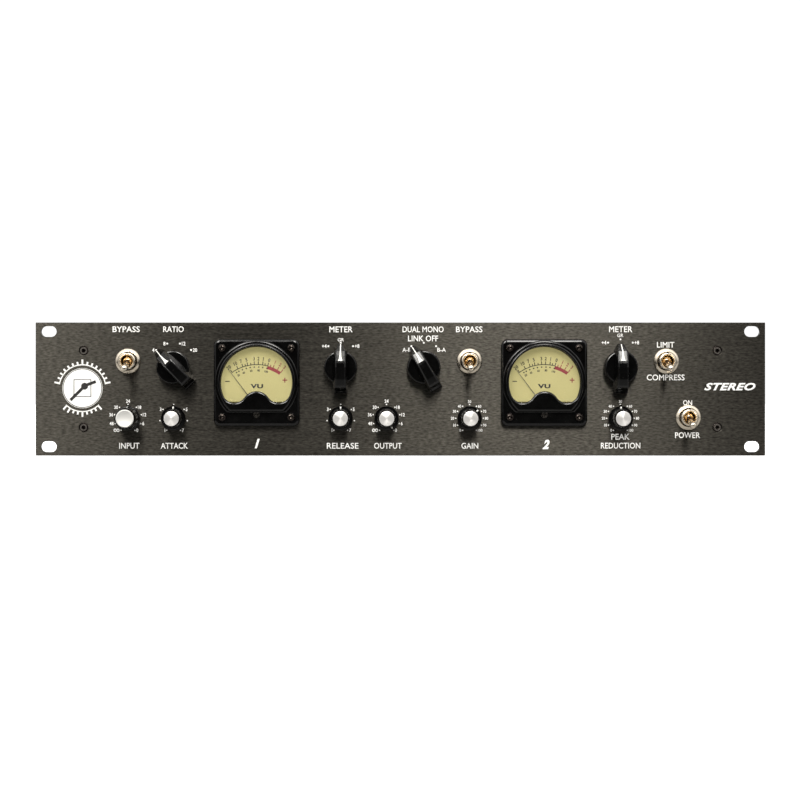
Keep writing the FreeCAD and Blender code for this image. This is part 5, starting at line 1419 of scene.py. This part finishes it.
class RACK_OT_rear(bpy.types.Operator):
    """Finish the rear sockets and the mains inlet."""
    bl_idname = "rack.rear"
    bl_label = "Rear sockets"

    def execute(self, context):
        dress_rear()
        return {"FINISHED"}


class RACK_OT_inside(bpy.types.Operator):
    """Finish what the case holds."""
    bl_idname = "rack.inside"
    bl_label = "Inside"

    def execute(self, context):
        dress_inside()
        return {"FINISHED"}


class RACK_OT_legends(bpy.types.Operator):
    """Print the legends and scales on the panel."""
    bl_idname = "rack.legends"
    bl_label = "Legends"

    def execute(self, context):
        print_legends()
        return {"FINISHED"}


class RACK_OT_emblem(bpy.types.Operator):
    """Print the round emblem."""
    bl_idname = "rack.emblem"
    bl_label = "Emblem"

    def execute(self, context):
        print_emblem()
        return {"FINISHED"}


class RACK_OT_selectors(bpy.types.Operator):
    """Build the bar-pointer selector knobs."""
    bl_idname = "rack.selectors"
    bl_label = "Selector knobs"

    def execute(self, context):
        selector_knobs()
        return {"FINISHED"}


class RACK_OT_knobs(bpy.types.Operator):
    """Build the skirted pointer knobs with their caps."""
    bl_idname = "rack.knobs"
    bl_label = "Pointer knobs"

    def execute(self, context):
        pointer_knobs()
        return {"FINISHED"}


class RACK_OT_toggles(bpy.types.Operator):
    """Build the toggles with their bushings and nuts."""
    bl_idname = "rack.toggles"
    bl_label = "Toggles"

    def execute(self, context):
        toggle_parts()
        return {"FINISHED"}


class RACK_OT_meters(bpy.types.Operator):
    """Build the meter bezels and print their dials."""
    bl_idname = "rack.meters"
    bl_label = "Meters"

    def execute(self, context):
        dress_meters()
        meters()
        return {"FINISHED"}


class RACK_OT_screws(bpy.types.Operator):
    """Build the cross-head and socket-head screws."""
    bl_idname = "rack.screws"
    bl_label = "Screws"

    def execute(self, context):
        screws()
        return {"FINISHED"}


class RACK_PT_sidebar(bpy.types.Panel):
    """The build steps in order."""
    bl_idname = "RACK_PT_sidebar"
    bl_label = "Rack Compressor"
    bl_space_type = "VIEW_3D"
    bl_region_type = "UI"
    bl_category = "Rack"

    def draw(self, context):
        for step in STEPS:
            self.layout.operator(step.bl_idname)


STEPS = (RACK_OT_stage, RACK_OT_case, RACK_OT_rear, RACK_OT_inside, RACK_OT_legends,
         RACK_OT_emblem, RACK_OT_selectors, RACK_OT_knobs, RACK_OT_toggles, RACK_OT_meters,
         RACK_OT_screws)
GROUPS = {"rack_panel": RACK_PG_panel, "rack_knobs": RACK_PG_knobs,
          "rack_toggles": RACK_PG_toggles, "rack_meters": RACK_PG_meters,
          "rack_case": RACK_PG_case, "rack_stage": RACK_PG_stage}


def register():
    for name, group in GROUPS.items():
        bpy.utils.register_class(group)
        setattr(bpy.types.Scene, name, PointerProperty(type=group))
    for step in STEPS + (RACK_PT_sidebar,):
        bpy.utils.register_class(step)


def unregister():
    for step in (RACK_PT_sidebar,) + STEPS[::-1]:
        bpy.utils.unregister_class(step)
    for name, group in reversed(GROUPS.items()):
        delattr(bpy.types.Scene, name)
        bpy.utils.unregister_class(group)


def main():
    register()
    for step in STEPS:
        area, name = step.bl_idname.split(".")
        getattr(getattr(bpy.ops, area), name)()


if __name__ == "__main__":
    main()
